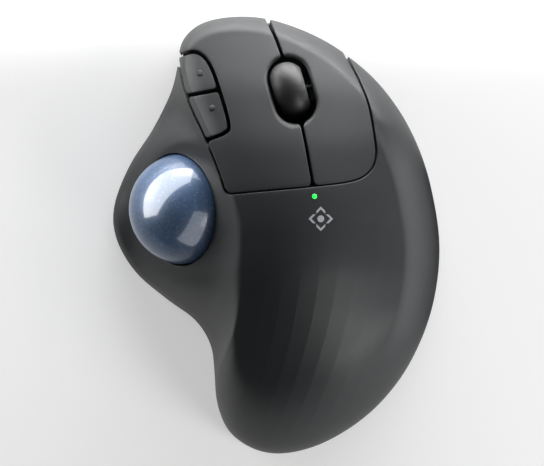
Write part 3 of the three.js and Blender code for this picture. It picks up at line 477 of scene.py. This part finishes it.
def slot_distance(x, y):
    """Distance outside a slot with round ends, turned with the wheel."""
    dx, dy = x - SLOT_CENTRE[0], y - SLOT_CENTRE[1]
    across = dx * math.cos(WHEEL_YAW) + dy * math.sin(WHEEL_YAW)
    along = dy * math.cos(WHEEL_YAW) - dx * math.sin(WHEEL_YAW)
    straight = (SLOT_LENGTH - SLOT_WIDTH) / 2
    return np.hypot(across, np.maximum(np.abs(along) - straight, 0)) - SLOT_WIDTH / 2


def opening_distance(x, y, z):
    """Distance outside the round opening for the ball, square to its axis."""
    d = np.stack([x, y, z], -1) - BALL_CENTRE
    depth = d @ opening
    across = np.sqrt(np.maximum((d ** 2).sum(-1) - depth ** 2, 0))
    return np.where(depth > BELOW_OPENING, across - OPENING_R, 20.0)


# %% [markdown]
# ## One way to make every moulding
#
# The outline is star-shaped about a middle point, so the whole top is one polar grid: one
# parameter runs round, the other from the edge inwards, packed closely near the edge where the
# surface turns down. A piece keeps the cells where its field is positive. Grid points next to a
# seam first slide along their own grid line onto the seam, so its edge is a smooth curve. The edge
# is then rounded with a quarter circle, turned down as a wall, and closed by a copy of the
# surface inside it.

# %% Polar grid over the outline
PACKING = 0.12
HALVINGS, SLIDE_LIMIT = 12, 0.98


def skin_points(height, ring, turn):
    """Surface points for a ring parameter, 0 at the outline and 1 in the middle, and an angle.
    The share of the way in is ring squared over (ring + packing), scaled to end at one."""
    share = ring * ring / (ring + PACKING) * (1 + PACKING)
    reach = (1 - share) * spoke(turn)
    x = CENTRE[0] + reach * np.cos(turn)
    y = CENTRE[1] + reach * np.sin(turn)
    return np.stack([x, y, height(x, y)], -1)


def skin_normals(height, ring, turn):
    """Unit normals: the cross product of the surface's differences along both parameters."""
    h = 1e-4
    high, low = np.minimum(ring + h, 1), np.maximum(ring - h, 0)
    along_ring = skin_points(height, high, turn) - skin_points(height, low, turn)
    along_turn = skin_points(height, ring, turn + h) - skin_points(height, ring, turn - h)
    n = np.cross(along_turn, along_ring)
    n /= np.maximum(np.linalg.norm(n, axis=-1, keepdims=True), 1e-12)
    return np.where(ring[..., None] >= 1, [0.0, 0.0, 1.0], n)


def slide_to_seam(inside, ring, turn, value):
    """Moves the grid points nearest to a seam along their grid lines onto it: each edge whose ends
    differ in sign hands its nearer end over, and bisection finds the crossing."""
    ring_step, turn_step = ring[1, 0] - ring[0, 0], turn[0, 1] - turn[0, 0]
    best = np.full(value.shape, 2.0)
    move = np.zeros(value.shape + (2,))
    for dr, dt in ((1, 0), (-1, 0), (0, 1), (0, -1)):
        other = np.roll(value, (-dr, -dt), (0, 1))
        if dr:
            other[-1 if dr > 0 else 0] = value[-1 if dr > 0 else 0]
        crossed = (value > 0) != (other > 0)
        share = np.where(crossed, value / np.where(crossed, value - other, 1), 2.0)
        nearer = crossed & (share <= 0.5) & (share < best)
        best[nearer] = share[nearer]
        move[nearer] = (dr * ring_step, dt * turn_step)
    slid = best < 1
    r0, t0, step = ring[slid], turn[slid], move[slid]
    low, high = np.zeros(len(r0)), np.full(len(r0), SLIDE_LIMIT)
    start_sign = value[slid] > 0
    for _ in range(HALVINGS):
        middle = (low + high) / 2
        same = (inside(r0 + middle * step[:, 0], t0 + middle * step[:, 1]) > 0) == start_sign
        low, high = np.where(same, middle, low), np.where(same, high, middle)
    ring, turn, value = ring.copy(), turn.copy(), value.copy()
    ring[slid] += low * step[:, 0]
    turn[slid] += low * step[:, 1]
    value[slid] = 0
    return ring, turn, value


def kept_cells(value):
    """Triangles of the cells inside a piece. A cell with one corner outside keeps its other half.
    The grid closes on itself round the turn."""
    rows, columns = value.shape
    ids = np.arange(rows * columns).reshape(rows, columns)
    ids[-1] = ids[-1, 0]
    corners = [ids[:-1], np.roll(ids, -1, 1)[:-1], np.roll(ids, -1, 1)[1:], ids[1:]]
    level = [value[:-1], np.roll(value, -1, 1)[:-1], np.roll(value, -1, 1)[1:], value[1:]]
    c = np.stack([k.ravel() for k in corners], 1)
    v = np.stack([k.ravel() for k in level], 1)
    out = v < 0
    whole = (out.sum(1) == 0) & (v > 0).any(1)
    faces = [c[whole][:, [0, 1, 2]], c[whole][:, [0, 2, 3]]]
    for k in range(4):
        half = (out.sum(1) == 1) & out[:, k] & (v[:, (k + 2) % 4] > 0)
        faces.append(c[half][:, [(k + 1) % 4, (k + 2) % 4, (k + 3) % 4]])
    t = np.vstack(faces)
    return t[(t[:, 0] != t[:, 1]) & (t[:, 1] != t[:, 2]) & (t[:, 0] != t[:, 2])]


def open_edges(faces):
    """Directed edges that belong to one face only."""
    edges = np.vstack([faces[:, [0, 1]], faces[:, [1, 2]], faces[:, [2, 0]]]).astype(np.int64)
    size = edges.max() + 1
    alone = ~np.isin(edges[:, 0] * size + edges[:, 1], edges[:, 1] * size + edges[:, 0])
    return edges[alone]

# %% [markdown]
# ## Turning a field into a mesh
#
# The open edges of the kept cells are the seam. From there the rounding rows, the wall and the
# inner copy follow as bands of triangles, so every moulding is closed and has a real thickness.

# %% From a field to a closed moulding
SHARP = math.radians(50)
PROBE = 0.05             # step for the field's slope at a seam, in millimetres
ROUNDING_STEPS = (22.5, 45, 67.5, 90)


def mesh_object(name, points_mm, faces, material, body, stands_for=()):
    """A mesh piece from points in millimetres, smooth except at sharp edges."""
    mesh = bpy.data.meshes.new(name)
    listed = faces if isinstance(faces, list) else faces.tolist()
    mesh.from_pydata(np.asarray(points_mm) * MM, [], listed)
    work = bmesh.new()
    work.from_mesh(mesh)
    bmesh.ops.remove_doubles(work, verts=work.verts, dist=1e-8)
    bmesh.ops.recalc_face_normals(work, faces=work.faces)
    work.to_mesh(mesh)
    work.free()
    mesh.materials.append(material)
    mesh.shade_smooth()
    mesh.set_sharp_from_angle(angle=SHARP)
    made = bpy.data.objects.new(name, mesh)
    bpy.context.scene.collection.objects.link(made)
    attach(made, body)
    if stands_for:
        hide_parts(*stands_for)
    return made


def moulding(name, height, field, body, wall, rounding, material, turns=660, rings=84):
    """A closed moulding of one piece of the skin. The edge row is the surface point P; row a of the
    rounding is P + r sin a T - r (1 - cos a) N, with T the way out along the surface."""
    ring, turn = np.meshgrid(
        np.arange(rings + 1) / rings, -math.pi + 2 * math.pi * np.arange(turns) / turns, indexing="ij")

    def inside(r, t):
        p = skin_points(height, r, t)
        return field(p[..., 0], p[..., 1], p[..., 2]) - rounding

    value = inside(ring, turn)
    ring, turn, value = slide_to_seam(inside, ring, turn, value)
    faces = kept_cells(value)
    used = np.unique(faces)
    renumber = np.zeros(value.size, int)
    renumber[used] = np.arange(len(used))
    faces = renumber[faces]
    r, t = ring.ravel()[used], turn.ravel()[used]
    points, normals = skin_points(height, r, t), skin_normals(height, r, t)

    edges = open_edges(faces)
    rim = np.unique(edges)
    rr, rt = r[rim], t[rim]
    base = points[rim]
    x, y, z = base.T
    gx = field(x + PROBE, y, z) - field(x - PROBE, y, z)
    gy = field(x, y + PROBE, z) - field(x, y - PROBE, z)
    away = -np.stack([gx, gy, np.zeros(len(rim))], -1)
    radial = np.stack([np.cos(rt), np.sin(rt), np.zeros(len(rim))], -1)
    on_outline = (rr <= 1e-9) & (inside(rr, rt) > 0)
    normals[rim[rr <= 1e-9]] = radial[rr <= 1e-9]
    n = normals[rim]
    length = np.linalg.norm(away, axis=1, keepdims=True)
    side = np.where(length > 1e-6, away / np.maximum(length, 1e-6), radial)
    flat = np.maximum(n[:, 2:3], 1e-6)
    lift = -(side * n).sum(1, keepdims=True) / flat
    tangent = side + lift * np.array([0, 0, 1.0])
    tangent = np.where(on_outline[:, None], [0, 0, -1.0], tangent)
    tangent /= np.linalg.norm(tangent, axis=1, keepdims=True)
    steps = np.radians(ROUNDING_STEPS)
    rows = [base + rounding * (math.sin(a) * tangent - (1 - math.cos(a)) * n) for a in steps]
    inner = points - wall * normals
    inner[rim] = base + rounding * tangent - wall * n

    count = len(points)
    place_in_rim = np.zeros(count, int)
    place_in_rim[rim] = np.arange(len(rim))
    a, b = place_in_rim[edges[:, 0]], place_in_rim[edges[:, 1]]
    levels = [rim] + [2 * count + k * len(rim) + np.arange(len(rim)) for k in range(len(rows))]
    levels.append(count + rim)
    strips = []
    for upper, lower in zip(levels[:-1], levels[1:]):
        strips.append(np.stack([upper[b], upper[a], lower[a]], 1))
        strips.append(np.stack([upper[b], lower[a], lower[b]], 1))
    all_faces = np.vstack([faces, faces[:, ::-1] + count] + strips)
    made = mesh_object(name, np.vstack([points, inner] + rows), all_faces, material, body)
    print(name, "triangles", len(all_faces), "edge points", len(rim))
    return made


# %% [markdown]
# ## Finishes
#
# The mouldings are spark-eroded: a fine even grain that scatters the light and leaves a soft,
# broad sheen. All plastics share one recipe: a cloudy change of tone, a grain that changes the
# roughness, and the same grain as a very shallow bump. Scales are per metre of the object.

# %% Finish recipe
CLOUD_SHARE = 12         # how many times wider the colour clouds are than the grain


def noise(tree, where, scale, detail):
    """A noise value over the given coordinates."""
    made = tree.nodes.new("ShaderNodeTexNoise")
    made.inputs["Scale"].default_value = scale
    made.inputs["Detail"].default_value = detail
    tree.links.new(where, made.inputs["Vector"])
    return made.outputs["Fac"]


def ramp(tree, value, low, high, dark, light):
    """Colours between two stops of a value."""
    made = tree.nodes.new("ShaderNodeValToRGB")
    made.color_ramp.elements[0].position, made.color_ramp.elements[1].position = low, high
    made.color_ramp.elements[0].color, made.color_ramp.elements[1].color = (*dark, 1), (*light, 1)
    tree.links.new(value, made.inputs["Fac"])
    return made.outputs["Color"]


def spread(tree, value, low, high):
    """A value from 0..1 carried to low..high."""
    made = tree.nodes.new("ShaderNodeMapRange")
    made.inputs["From Min"].default_value, made.inputs["From Max"].default_value = 0.25, 0.75
    made.inputs["To Min"].default_value, made.inputs["To Max"].default_value = low, high
    tree.links.new(value, made.inputs["Value"])
    return made.outputs["Result"]


def finish(name, color, roughness, grain=2600, depth=0.02, tone=0.12, metallic=0.0, **more):
    """A grained material: colour clouds, grain in the roughness, and grain as a shallow bump."""
    made = bpy.data.materials.new(name)
    made.use_nodes = True
    tree = made.node_tree
    shader = tree.nodes["Principled BSDF"]
    where = tree.nodes.new("ShaderNodeTexCoord").outputs["Object"]
    clouds = noise(tree, where, grain / CLOUD_SHARE, 3)
    dark = [c * (1 - tone) for c in color]
    light = [min(c * (1 + tone), 1) for c in color]
    tree.links.new(ramp(tree, clouds, 0.3, 0.7, dark, light), shader.inputs["Base Color"])
    fine = noise(tree, where, grain, 2)
    low, high = roughness
    tree.links.new(spread(tree, fine, low, high), shader.inputs["Roughness"])
    bump = tree.nodes.new("ShaderNodeBump")
    bump.inputs["Strength"].default_value = 1.0
    bump.inputs["Distance"].default_value = depth * MM
    tree.links.new(fine, bump.inputs["Height"])
    tree.links.new(bump.outputs["Normal"], shader.inputs["Normal"])
    shader.inputs["Metallic"].default_value = metallic
    for socket, value in more.items():
        shader.inputs[socket.replace("_", " ")].default_value = value
    return made


GRAPHITE = (0.012, 0.0135, 0.015)
shell_finish = finish("graphite_grain", GRAPHITE, (0.44, 0.52), grain=3000, depth=0.006, tone=0.05,
                      Specular_IOR_Level=0.42)
base_finish = finish("black_grain", (0.016, 0.017, 0.019), (0.5, 0.66), grain=2200, depth=0.014)
inner_finish = finish("black_moulding", (0.012, 0.012, 0.013), (0.44, 0.56), grain=900, depth=0.004)
# The nibs are coloured darker than the keys, a painted shade on the small domes.
nib_shade_finish = finish("nib_painted_shade", (0.0045, 0.005, 0.0055), (0.6, 0.7), grain=1800, depth=0.004)
white_finish = finish("white_acetal", (0.74, 0.74, 0.70), (0.26, 0.38), grain=700, depth=0.003,
                      tone=0.03)
rubber_finish = finish("tyre_rubber", (0.012, 0.012, 0.013), (0.46, 0.54), grain=1800, depth=0.006)
pad_finish = finish("glide_pad", (0.030, 0.030, 0.032), (0.34, 0.5), grain=1400, depth=0.006)
steel_finish = finish("plated_steel", (0.52, 0.53, 0.55), (0.2, 0.36), grain=1500, depth=0.003,
                      metallic=1.0)
brass_finish = finish("stamped_brass", (0.70, 0.50, 0.22), (0.24, 0.4), grain=1500, depth=0.003,
                      metallic=1.0)
# The boards are coloured near black, a painted shade, so that a board seen through a gap reads as a
# shadow.
board_shade_finish = finish("solder_mask_painted_shade", (0.006, 0.016, 0.011), (0.30, 0.46), grain=800, depth=0.01,
                      tone=0.2)
chip_finish = finish("chip_epoxy", (0.018, 0.018, 0.02), (0.42, 0.6), grain=4000, depth=0.006)
clear_finish = finish("clear_lens", (0.72, 0.78, 0.76), (0.05, 0.1), grain=300, depth=0.001, tone=0.02,
                      Transmission_Weight=0.85)
ribbon_finish = finish("ribbon_film", (0.66, 0.62, 0.50), (0.3, 0.42), grain=1200, depth=0.004,
                       tone=0.05)
label_finish = finish("cell_sleeve", (0.045, 0.055, 0.075), (0.24, 0.36), grain=500, depth=0.002,
                      metallic=0.6)
light_finish = finish("lit_green", (0.02, 0.6, 0.08), (0.25, 0.35), grain=900, depth=0.002,
                      Emission_Color=(0.01, 1.0, 0.05, 1), Emission_Strength=1.2)
icon_finish = finish("icon_ink", (0.30, 0.31, 0.33), (0.5, 0.62), grain=3000, depth=0.004, tone=0.05)

# %% [markdown]
# ## The ball's resin
#
# The ball is cast in a blue-grey resin with fine pearl flakes and then polished. A voronoi pattern
# gives each flake its own brightness, a slow noise makes the cloudy depth, and a clear coat gives
# the sharp reflections. The coat's index is low, so the pale floor does not whiten the ball's rim.

# %% Pearl resin
RESIN_DARK, RESIN_LIGHT = (0.042, 0.078, 0.150), (0.054, 0.098, 0.185)
FLAKE_BLUE = (0.22, 0.33, 0.52, 1)
CLOUD_SCALE, FLAKE_SCALE = 120, 2600
FLAKES_FROM, FLAKES_TO = 0.8, 1.6     # the few flakes above the first value show


def pearl_resin():
    """Cloudy resin with a share of bright flakes, a low gloss of its own and a clear coat."""
    made = bpy.data.materials.new("pearl_resin")
    made.use_nodes = True
    tree = made.node_tree
    shader = tree.nodes["Principled BSDF"]
    where = tree.nodes.new("ShaderNodeTexCoord").outputs["Object"]
    depth = ramp(tree, noise(tree, where, CLOUD_SCALE, 4), 0.35, 0.65, RESIN_DARK, RESIN_LIGHT)
    flakes = tree.nodes.new("ShaderNodeTexVoronoi")
    flakes.inputs["Scale"].default_value = FLAKE_SCALE
    tree.links.new(where, flakes.inputs["Vector"])
    parted = tree.nodes.new("ShaderNodeSeparateColor")
    tree.links.new(flakes.outputs["Color"], parted.inputs["Color"])
    bright = tree.nodes.new("ShaderNodeMapRange")
    bright.inputs["From Min"].default_value = FLAKES_FROM
    bright.inputs["From Max"].default_value = FLAKES_TO
    tree.links.new(parted.outputs["Red"], bright.inputs["Value"])
    mixer = tree.nodes.new("ShaderNodeMix")
    mixer.data_type = "RGBA"
    tree.links.new(bright.outputs["Result"], mixer.inputs["Factor"])
    tree.links.new(depth, mixer.inputs["A"])
    mixer.inputs["B"].default_value = FLAKE_BLUE
    tree.links.new(mixer.outputs["Result"], shader.inputs["Base Color"])
    tree.links.new(spread(tree, parted.outputs["Green"], 0.30, 0.36), shader.inputs["Roughness"])
    shader.inputs["Specular IOR Level"].default_value = 0.12
    shader.inputs["Coat Weight"].default_value = 1.0
    shader.inputs["Coat IOR"].default_value = 1.25
    shader.inputs["Coat Roughness"].default_value = 0.03
    return made


ball_finish = pearl_resin()

# %% [markdown]
# ## Main shell
#
# The large moulding under the palm: palm rest, right flank, thumb side and collar round the ball.
# Its field is positive outside the buttons' area and outside the ball's opening.

# %% Main shell
SKIN = 1.3
SEAM_HALF = 0.55         # how far a button stays behind the line of its seam
SHELL_OVER = 0.05        # how far the shell reaches past that line


def shell_field(x, y, z):
    """Outside the buttons' area and outside the opening for the ball."""
    return np.minimum(-button_field(x, y) + SHELL_OVER, opening_distance(x, y, z))


main_skin = moulding("main_shell_skin", shell_height, shell_field, "casing", SKIN, EDGE_R, shell_finish)
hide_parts("main_shell")

# %% [markdown]
# ## Main buttons
#
# Two long buttons cover the front. They follow the same surface down to their front lip, which
# stops short of the base so that a click has room. A round lip sinks towards the wheel slot.

# %% Left and right button
LIP_BOTTOM = 10.3
LIP_DEPTH, LIP_WIDTH = 1.0, 1.2
SPLIT_HALF = 0.45
BUTTON_CORNER, SLOT_CORNER = 1.2, 1.0
PAST_SEAM = 1.5          # lips and bevels go on past the seam line by half their width


def button_height(x, y):
    """The shell's surface, sunk by a parabola towards the wheel slot."""
    near = np.clip(1 - slot_distance(x, y) / LIP_WIDTH, 0, PAST_SEAM)
    return top_height(x, y, LIP_BOTTOM) - LIP_DEPTH * near ** 2


def main_button_field(side):
    """Field of the left button for side 1 and of the right button for side -1."""
    def field(x, y, z):
        split = side * left_of_split(x, y) - SPLIT_HALF
        edge = soft_minimum(button_field(x, y) - SEAM_HALF, split, BUTTON_CORNER)
        edge = soft_minimum(edge, slot_distance(x, y), SLOT_CORNER)
        if side > 0:
            edge = soft_minimum(edge, outside_thumb_buttons(x, y) - SEAM_HALF, BUTTON_CORNER)
        return edge
    return field


left_skin = moulding("left_button_skin", button_height, main_button_field(1), "left_main_button",
                     SKIN, EDGE_R, shell_finish, turns=900)
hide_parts("left_button")
right_skin = moulding("right_button_skin", button_height, main_button_field(-1), "right_main_button",
                      SKIN, EDGE_R, shell_finish, turns=900)
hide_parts("right_button")

# %% [markdown]
# ## Thumb buttons
#
# Two small keys sit between the left button and the crease. Each has a bevel along the crease, a
# face that dips to the right of it, and a small nib that the thumb can find.

# %% Forward and back button
BEVEL_WIDTH, BEVEL_DROP = 2.1, 1.1
DISH_WIDTH, DISH_DEPTH = 4.5, 1.0
KEY_CORNER = 0.8


def thumb_button_height(x, y):
    """The top surface less a straight bevel towards the crease, and less a dish that deepens as a
    parabola from the bevel's edge over the dish's width."""
    along_crease = beside_crease(x, y)
    bevel = BEVEL_DROP * np.clip(1 - along_crease / BEVEL_WIDTH, 0, PAST_SEAM)
    across = np.clip((along_crease - BEVEL_WIDTH) / DISH_WIDTH, 0, 1)
    dish = DISH_DEPTH * across * (2 - across)
    return top_height(x, y, LIP_BOTTOM) - bevel - dish


def thumb_button_field(side):
    """Field of the forward button for side 1 and of the back button for side -1."""
    def field(x, y, z):
        edge = button_field(x, y) - SEAM_HALF
        edge = soft_minimum(edge, -outside_thumb_buttons(x, y) - SEAM_HALF, KEY_CORNER)
        return soft_minimum(edge, side * ahead_of_thumb_split(x, y) - SEAM_HALF, KEY_CORNER)
    return field


forward_skin = moulding("forward_button_skin", thumb_button_height, thumb_button_field(1),
                        "forward_side_button", SKIN, EDGE_R, shell_finish, turns=1400, rings=150)
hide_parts("forward_button")
back_skin = moulding("back_button_skin", thumb_button_height, thumb_button_field(-1),
                     "back_side_button", SKIN, EDGE_R, shell_finish, turns=1400, rings=150)
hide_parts("back_button")

# %% [markdown]
# ## Ball and wheel
#
# Both are turned shapes: the ball from a half circle, the tyre from a barrel with round shoulders.


# %% Turned shapes
def turned(profile_points, centre, axis, count=180):
    """Points of a profile of (radius, place along the axis) turned once round an axis."""
    axis = np.array(axis, float) / np.linalg.norm(axis)
    helper = np.array([0, 0, 1.0]) if abs(axis[2]) < 0.9 else np.array([1.0, 0, 0])
    u = np.cross(axis, helper)
    u /= np.linalg.norm(u)
    v = np.cross(axis, u)
    angle = 2 * math.pi * np.arange(count) / count
    spoke_out = np.cos(angle)[:, None] * u + np.sin(angle)[:, None] * v
    radius, along = np.array(profile_points, float).T
    return centre + radius[:, None, None] * spoke_out + along[:, None, None] * axis


def band_faces(rows, columns, closed_rows=False):
    """Quads of a grid that closes on itself round its columns, and perhaps over its rows."""
    ids = np.arange(rows * columns).reshape(rows, columns)
    below = np.roll(ids, -1, 0) if closed_rows else ids[1:]
    above = ids if closed_rows else ids[:-1]
    quads = np.stack([above, np.roll(above, -1, 1), np.roll(below, -1, 1), below], -1)
    return quads.reshape(-1, 4)


BALL_AXIS = np.array([0, 1, 0])
latitude = np.radians(np.linspace(-90, 90, 97))[1:-1]
half_circle = BALL_R * np.stack([np.cos(latitude), np.sin(latitude)], 1)
ball_rows = turned(half_circle, BALL_CENTRE, BALL_AXIS)
ball_ends = BALL_CENTRE + BALL_R * np.array([-1, 1])[:, None] * BALL_AXIS
ball_points = np.vstack([ball_rows.reshape(-1, 3), ball_ends])
columns = ball_rows.shape[1]
last = len(ball_rows) * columns
ring_ids = np.arange(columns)
poles = [[last, b, a] for a, b in zip(ring_ids, np.roll(ring_ids, -1))]
top_ring = ring_ids + last - columns
poles += [[last + 1, a, b] for a, b in zip(top_ring, np.roll(top_ring, -1))]
ball_faces = band_faces(len(ball_rows), columns).tolist() + poles
ball = mesh_object("pearl_ball", ball_points, ball_faces, ball_finish, "ball",
                   ["trackball"])
lit_by_window.objects.link(ball)

WHEEL_CENTRE = np.array([4.2, 43.4, 27.6])
WHEEL_R, BARREL_HALF, BARREL_CORE = 9.5, 5.35, 4.5
TYRE_INNER = 6.4
axle = (math.cos(WHEEL_YAW), math.sin(WHEEL_YAW), 0)
widest = math.acos((TYRE_INNER - BARREL_CORE) / (WHEEL_R - BARREL_CORE))
arc = np.linspace(-widest, widest, 49)
barrel = BARREL_CORE + (WHEEL_R - BARREL_CORE) * np.cos(arc)
tyre_profile = list(zip(barrel, BARREL_HALF * np.sin(arc)))
tyre_rows = turned(tyre_profile, WHEEL_CENTRE, axle, 200)
tyre_faces = band_faces(len(tyre_rows), tyre_rows.shape[1], closed_rows=True)
mesh_object("smooth_tyre", tyre_rows.reshape(-1, 3), tyre_faces, rubber_finish, "scroll_wheel",
            ["wheel_tyre"])

# %% [markdown]
# ## Status light and icon
#
# A small green light guide stands in the skin behind the split. Behind it lies a plain icon of four
# arrowheads round a dot, in the place of a printed mark and as a film of its own.

# %% Light dome and printed icon
LIGHT = (11.5, 11.7)
LIGHT_R, LIGHT_RISE = 0.75, 0.3
ICON_CENTRE, ICON_LIFT, ICON_FILM = (13.4, 4.9), 0.02, 0.05
CAP_ROWS, CAP_COLUMNS, CAP_FOOT = 10, 48, 0.6


def cap_on_skin(name, centre, radius, rise, finish_used, body, stands_for, height=shell_height):
    """A dome on the skin: radius times sin a out and rise times cos a up, closed underneath."""
    a = np.linspace(0, math.pi / 2, CAP_ROWS)[1:]
    angle = np.linspace(0, 2 * math.pi, CAP_COLUMNS + 1)[:-1]
    x = centre[0] + radius * np.sin(a)[:, None] * np.cos(angle)
    y = centre[1] + radius * np.sin(a)[:, None] * np.sin(angle)
    rows = np.stack([x, y, height(x, y) + rise * np.cos(a)[:, None]], -1)
    foot = rows[-1:] - (0, 0, CAP_FOOT)
    cx, cy = np.array([centre[0]]), np.array([centre[1]])
    middle = np.array([[centre[0], centre[1], height(cx, cy)[0] + rise]])
    low_middle = middle - (0, 0, rise + CAP_FOOT)
    points = np.vstack([rows.reshape(-1, 3), foot.reshape(-1, 3), middle, low_middle])
    ids, count = np.arange(CAP_COLUMNS), CAP_COLUMNS * CAP_ROWS
    low_ids = ids + count - CAP_COLUMNS
    faces = band_faces(CAP_ROWS, CAP_COLUMNS).tolist()
    faces += [[count, a, b] for a, b in zip(ids, np.roll(ids, -1))]
    faces += [[count + 1, b, a] for a, b in zip(low_ids, np.roll(low_ids, -1))]
    return mesh_object(name, points, faces, finish_used, body, stands_for)


cap_on_skin("status_dome", LIGHT, LIGHT_R, LIGHT_RISE, light_finish, "casing", ["status_light"])
# Each nib is a small dome whose near-black colour is a painted shade.
NIBS = {"forward": (-23.4, 49.4), "back": (-19.7, 38.7)}
NIB_R, NIB_RISE = 0.95, 0.4
for key, place in NIBS.items():
    cap_on_skin(key + "_nib", place, NIB_R, NIB_RISE, nib_shade_finish, key + "_side_button", [],
                thumb_button_height)


ARM, ARM_WIDTH, REACH = 1.35, 0.62, 3.3
DOT_R, DOT_HOLE = 1.05, 0.05


def laid_on_skin(flat):
    """Rows of a flat strip round the icon's centre, laid on the skin and returned underneath."""
    x, y = flat[..., 0] + ICON_CENTRE[0], flat[..., 1] + ICON_CENTRE[1]
    z = shell_height(x, y)
    top = np.stack([x, y, z + ICON_LIFT + ICON_FILM], -1)
    low = np.stack([x, y, z - ICON_LIFT], -1)[::-1]
    return np.vstack([top, low])


angle = np.linspace(0, 2 * math.pi, 41)[:-1]
circle = np.stack([np.cos(angle), np.sin(angle)], 1)
radii = DOT_R + (DOT_HOLE - DOT_R) * np.linspace(0, 1, 5)[:, None, None]
rows = laid_on_skin(circle * radii)
dot_faces = band_faces(len(rows), rows.shape[1], closed_rows=True)
mesh_object("icon_ring", rows.reshape(-1, 3), dot_faces, icon_finish, "casing")


def arrowhead(name, direction):
    """Two arms of even width, each a strip over the skin, joined at the tip by their mitre."""
    t = np.linspace(-1, 1, 25)
    line = np.stack([t * ARM, REACH - np.abs(t) * ARM], 1)
    across = np.linspace(-0.5, 0.5, 5)[:, None, None] * np.array([0, ARM_WIDTH * math.sqrt(2)])
    c, s = math.cos(direction), math.sin(direction)
    rows = laid_on_skin((line + across) @ np.array([[c, s], [-s, c]]))
    size, length = rows.shape[:2]
    ids = np.arange(size * length).reshape(size, length)
    nxt = np.roll(ids, -1, 0)
    quads = np.stack([ids[:, :-1], ids[:, 1:], nxt[:, 1:], nxt[:, :-1]], -1).reshape(-1, 4).tolist()
    half = size // 2
    for end in (0, -1):
        for k in range(half - 1):
            quads.append([ids[k, end], ids[k + 1, end], ids[size - 2 - k, end], ids[size - 1 - k, end]])
    mesh_object(name, rows.reshape(-1, 3), [[int(i) for i in q] for q in quads], icon_finish,
                "casing")


for number in range(4):
    arrowhead(f"icon_arrow_{number + 1}", number * math.pi / 2)

# %% [markdown]
# ## Pieces underneath
#
# The base, the battery door, the feet, the screws, the slider and the small key are simple prisms
# whose CAD meshes have the right shape. A copy of each gets its doubles merged and a small bevel,
# so that its edges catch the light.

# %% Bevelled copies
WALL_BACK = 0.7          # how far the base's front wall stands behind the buttons' lip
FLOOR_TOP = 2.8          # of the base
LEVEL_MARGIN, OUTER_FACE = 0.05, 1.2
BEVEL_ANGLE = math.radians(35)
COPLANAR = math.radians(0.5)


def set_back(mesh):
    """Moves the front wall's outer face in: points above the floor and near the outline."""
    points = np.zeros(len(mesh.vertices) * 3)
    mesh.vertices.foreach_get("co", points)
    points = points.reshape(-1, 3)
    x, y = points[:, 0] / MM, points[:, 1] / MM
    near = (points[:, 2] / MM > FLOOR_TOP + LEVEL_MARGIN) & (inward(x, y) < OUTER_FACE)
    towards = CENTRE - np.stack([x, y], -1)
    towards /= np.linalg.norm(towards, axis=1, keepdims=True)
    points[near, :2] += WALL_BACK * MM * towards[near]
    mesh.vertices.foreach_set("co", points.ravel())


def bevelled(node, body, width, material, segments=2):
    """A copy of a CAD node with merged corners, a live bevel and its own finish."""
    mesh = nodes[node].data.copy()
    if node == "base_shell":
        set_back(mesh)
    work = bmesh.new()
    work.from_mesh(mesh)
    bmesh.ops.remove_doubles(work, verts=work.verts, dist=1e-6)
    bmesh.ops.dissolve_limit(work, angle_limit=COPLANAR, verts=work.verts, edges=work.edges)
    bmesh.ops.recalc_face_normals(work, faces=work.faces)
    work.to_mesh(mesh)
    work.free()
    mesh.materials.clear()
    mesh.materials.append(material)
    mesh.shade_smooth()
    mesh.set_sharp_from_angle(angle=SHARP)
    made = bpy.data.objects.new(node + "_moulding", mesh)
    bpy.context.scene.collection.objects.link(made)
    bevel = made.modifiers.new("soft edges", "BEVEL")
    bevel.width, bevel.segments, bevel.limit_method = width * MM, segments, "ANGLE"
    bevel.angle_limit = BEVEL_ANGLE
    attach(made, body)
    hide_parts(node)


bodies = frame["record"]["behaviour"]["bodies"]
body_of = {node: body for body, members in bodies.items() for node in members}
for node in ("base_shell", "battery_door"):
    bevelled(node, body_of[node], 0.2, base_finish)
for node in sorted(nodes):
    if node.startswith("foot_"):
        bevelled(node, body_of[node], 0.25, pad_finish, 3)
    if node.startswith("case_screw"):
        bevelled(node, body_of[node], 0.12, steel_finish)
for node in ("power_slider", "pairing_button"):
    bevelled(node, body_of[node], 0.2, white_finish)

# %% [markdown]
# ## Pieces inside
#
# What lies inside keeps its CAD mesh and gets the finish of its material, looked up by the node's
# name or by the end of it. The boards' near-black finish is a painted shade.

# %% Finishes of the pieces that keep their CAD mesh
CARRIED = {
    "ball_cup": inner_finish, "wheel_hub": inner_finish, "wheel_carriage": inner_finish,
    "wheel_axle": inner_finish, "scroll_encoder": inner_finish, "sensor_lens": clear_finish,
    "sensor_chip": chip_finish, "sensor_board": board_shade_finish, "main_board": board_shade_finish,
    "controller_chip": chip_finish, "side_button_board": board_shade_finish, "ribbon_cable": ribbon_finish,
    "light_guide": clear_finish, "power_switch": inner_finish, "pairing_switch": inner_finish,
    "battery_cell": label_finish, "positive_contact": brass_finish, "negative_spring": steel_finish,
    "receiver_plug": steel_finish, "receiver_cap": inner_finish, "trackball": ball_finish,
    "status_light": light_finish, "wheel_tyre": rubber_finish,
}
ENDINGS = {
    "_switch": inner_finish, "_plunger": white_finish, "_button": shell_finish,
    "shell": shell_finish, "_slider": white_finish, "_door": base_finish,
}
for node, holder in nodes.items():
    ending = next((look for tail, look in ENDINGS.items() if node.endswith(tail)), None)
    look = CARRIED.get(node) or ending
    if node.startswith("support_bead"):
        look = white_finish
    if node.startswith("foot_"):
        look = pad_finish
    if node.startswith("case_screw"):
        look = steel_finish
    holder.data.materials.clear()
    holder.data.materials.append(look)
print("finished nodes:", len(nodes))
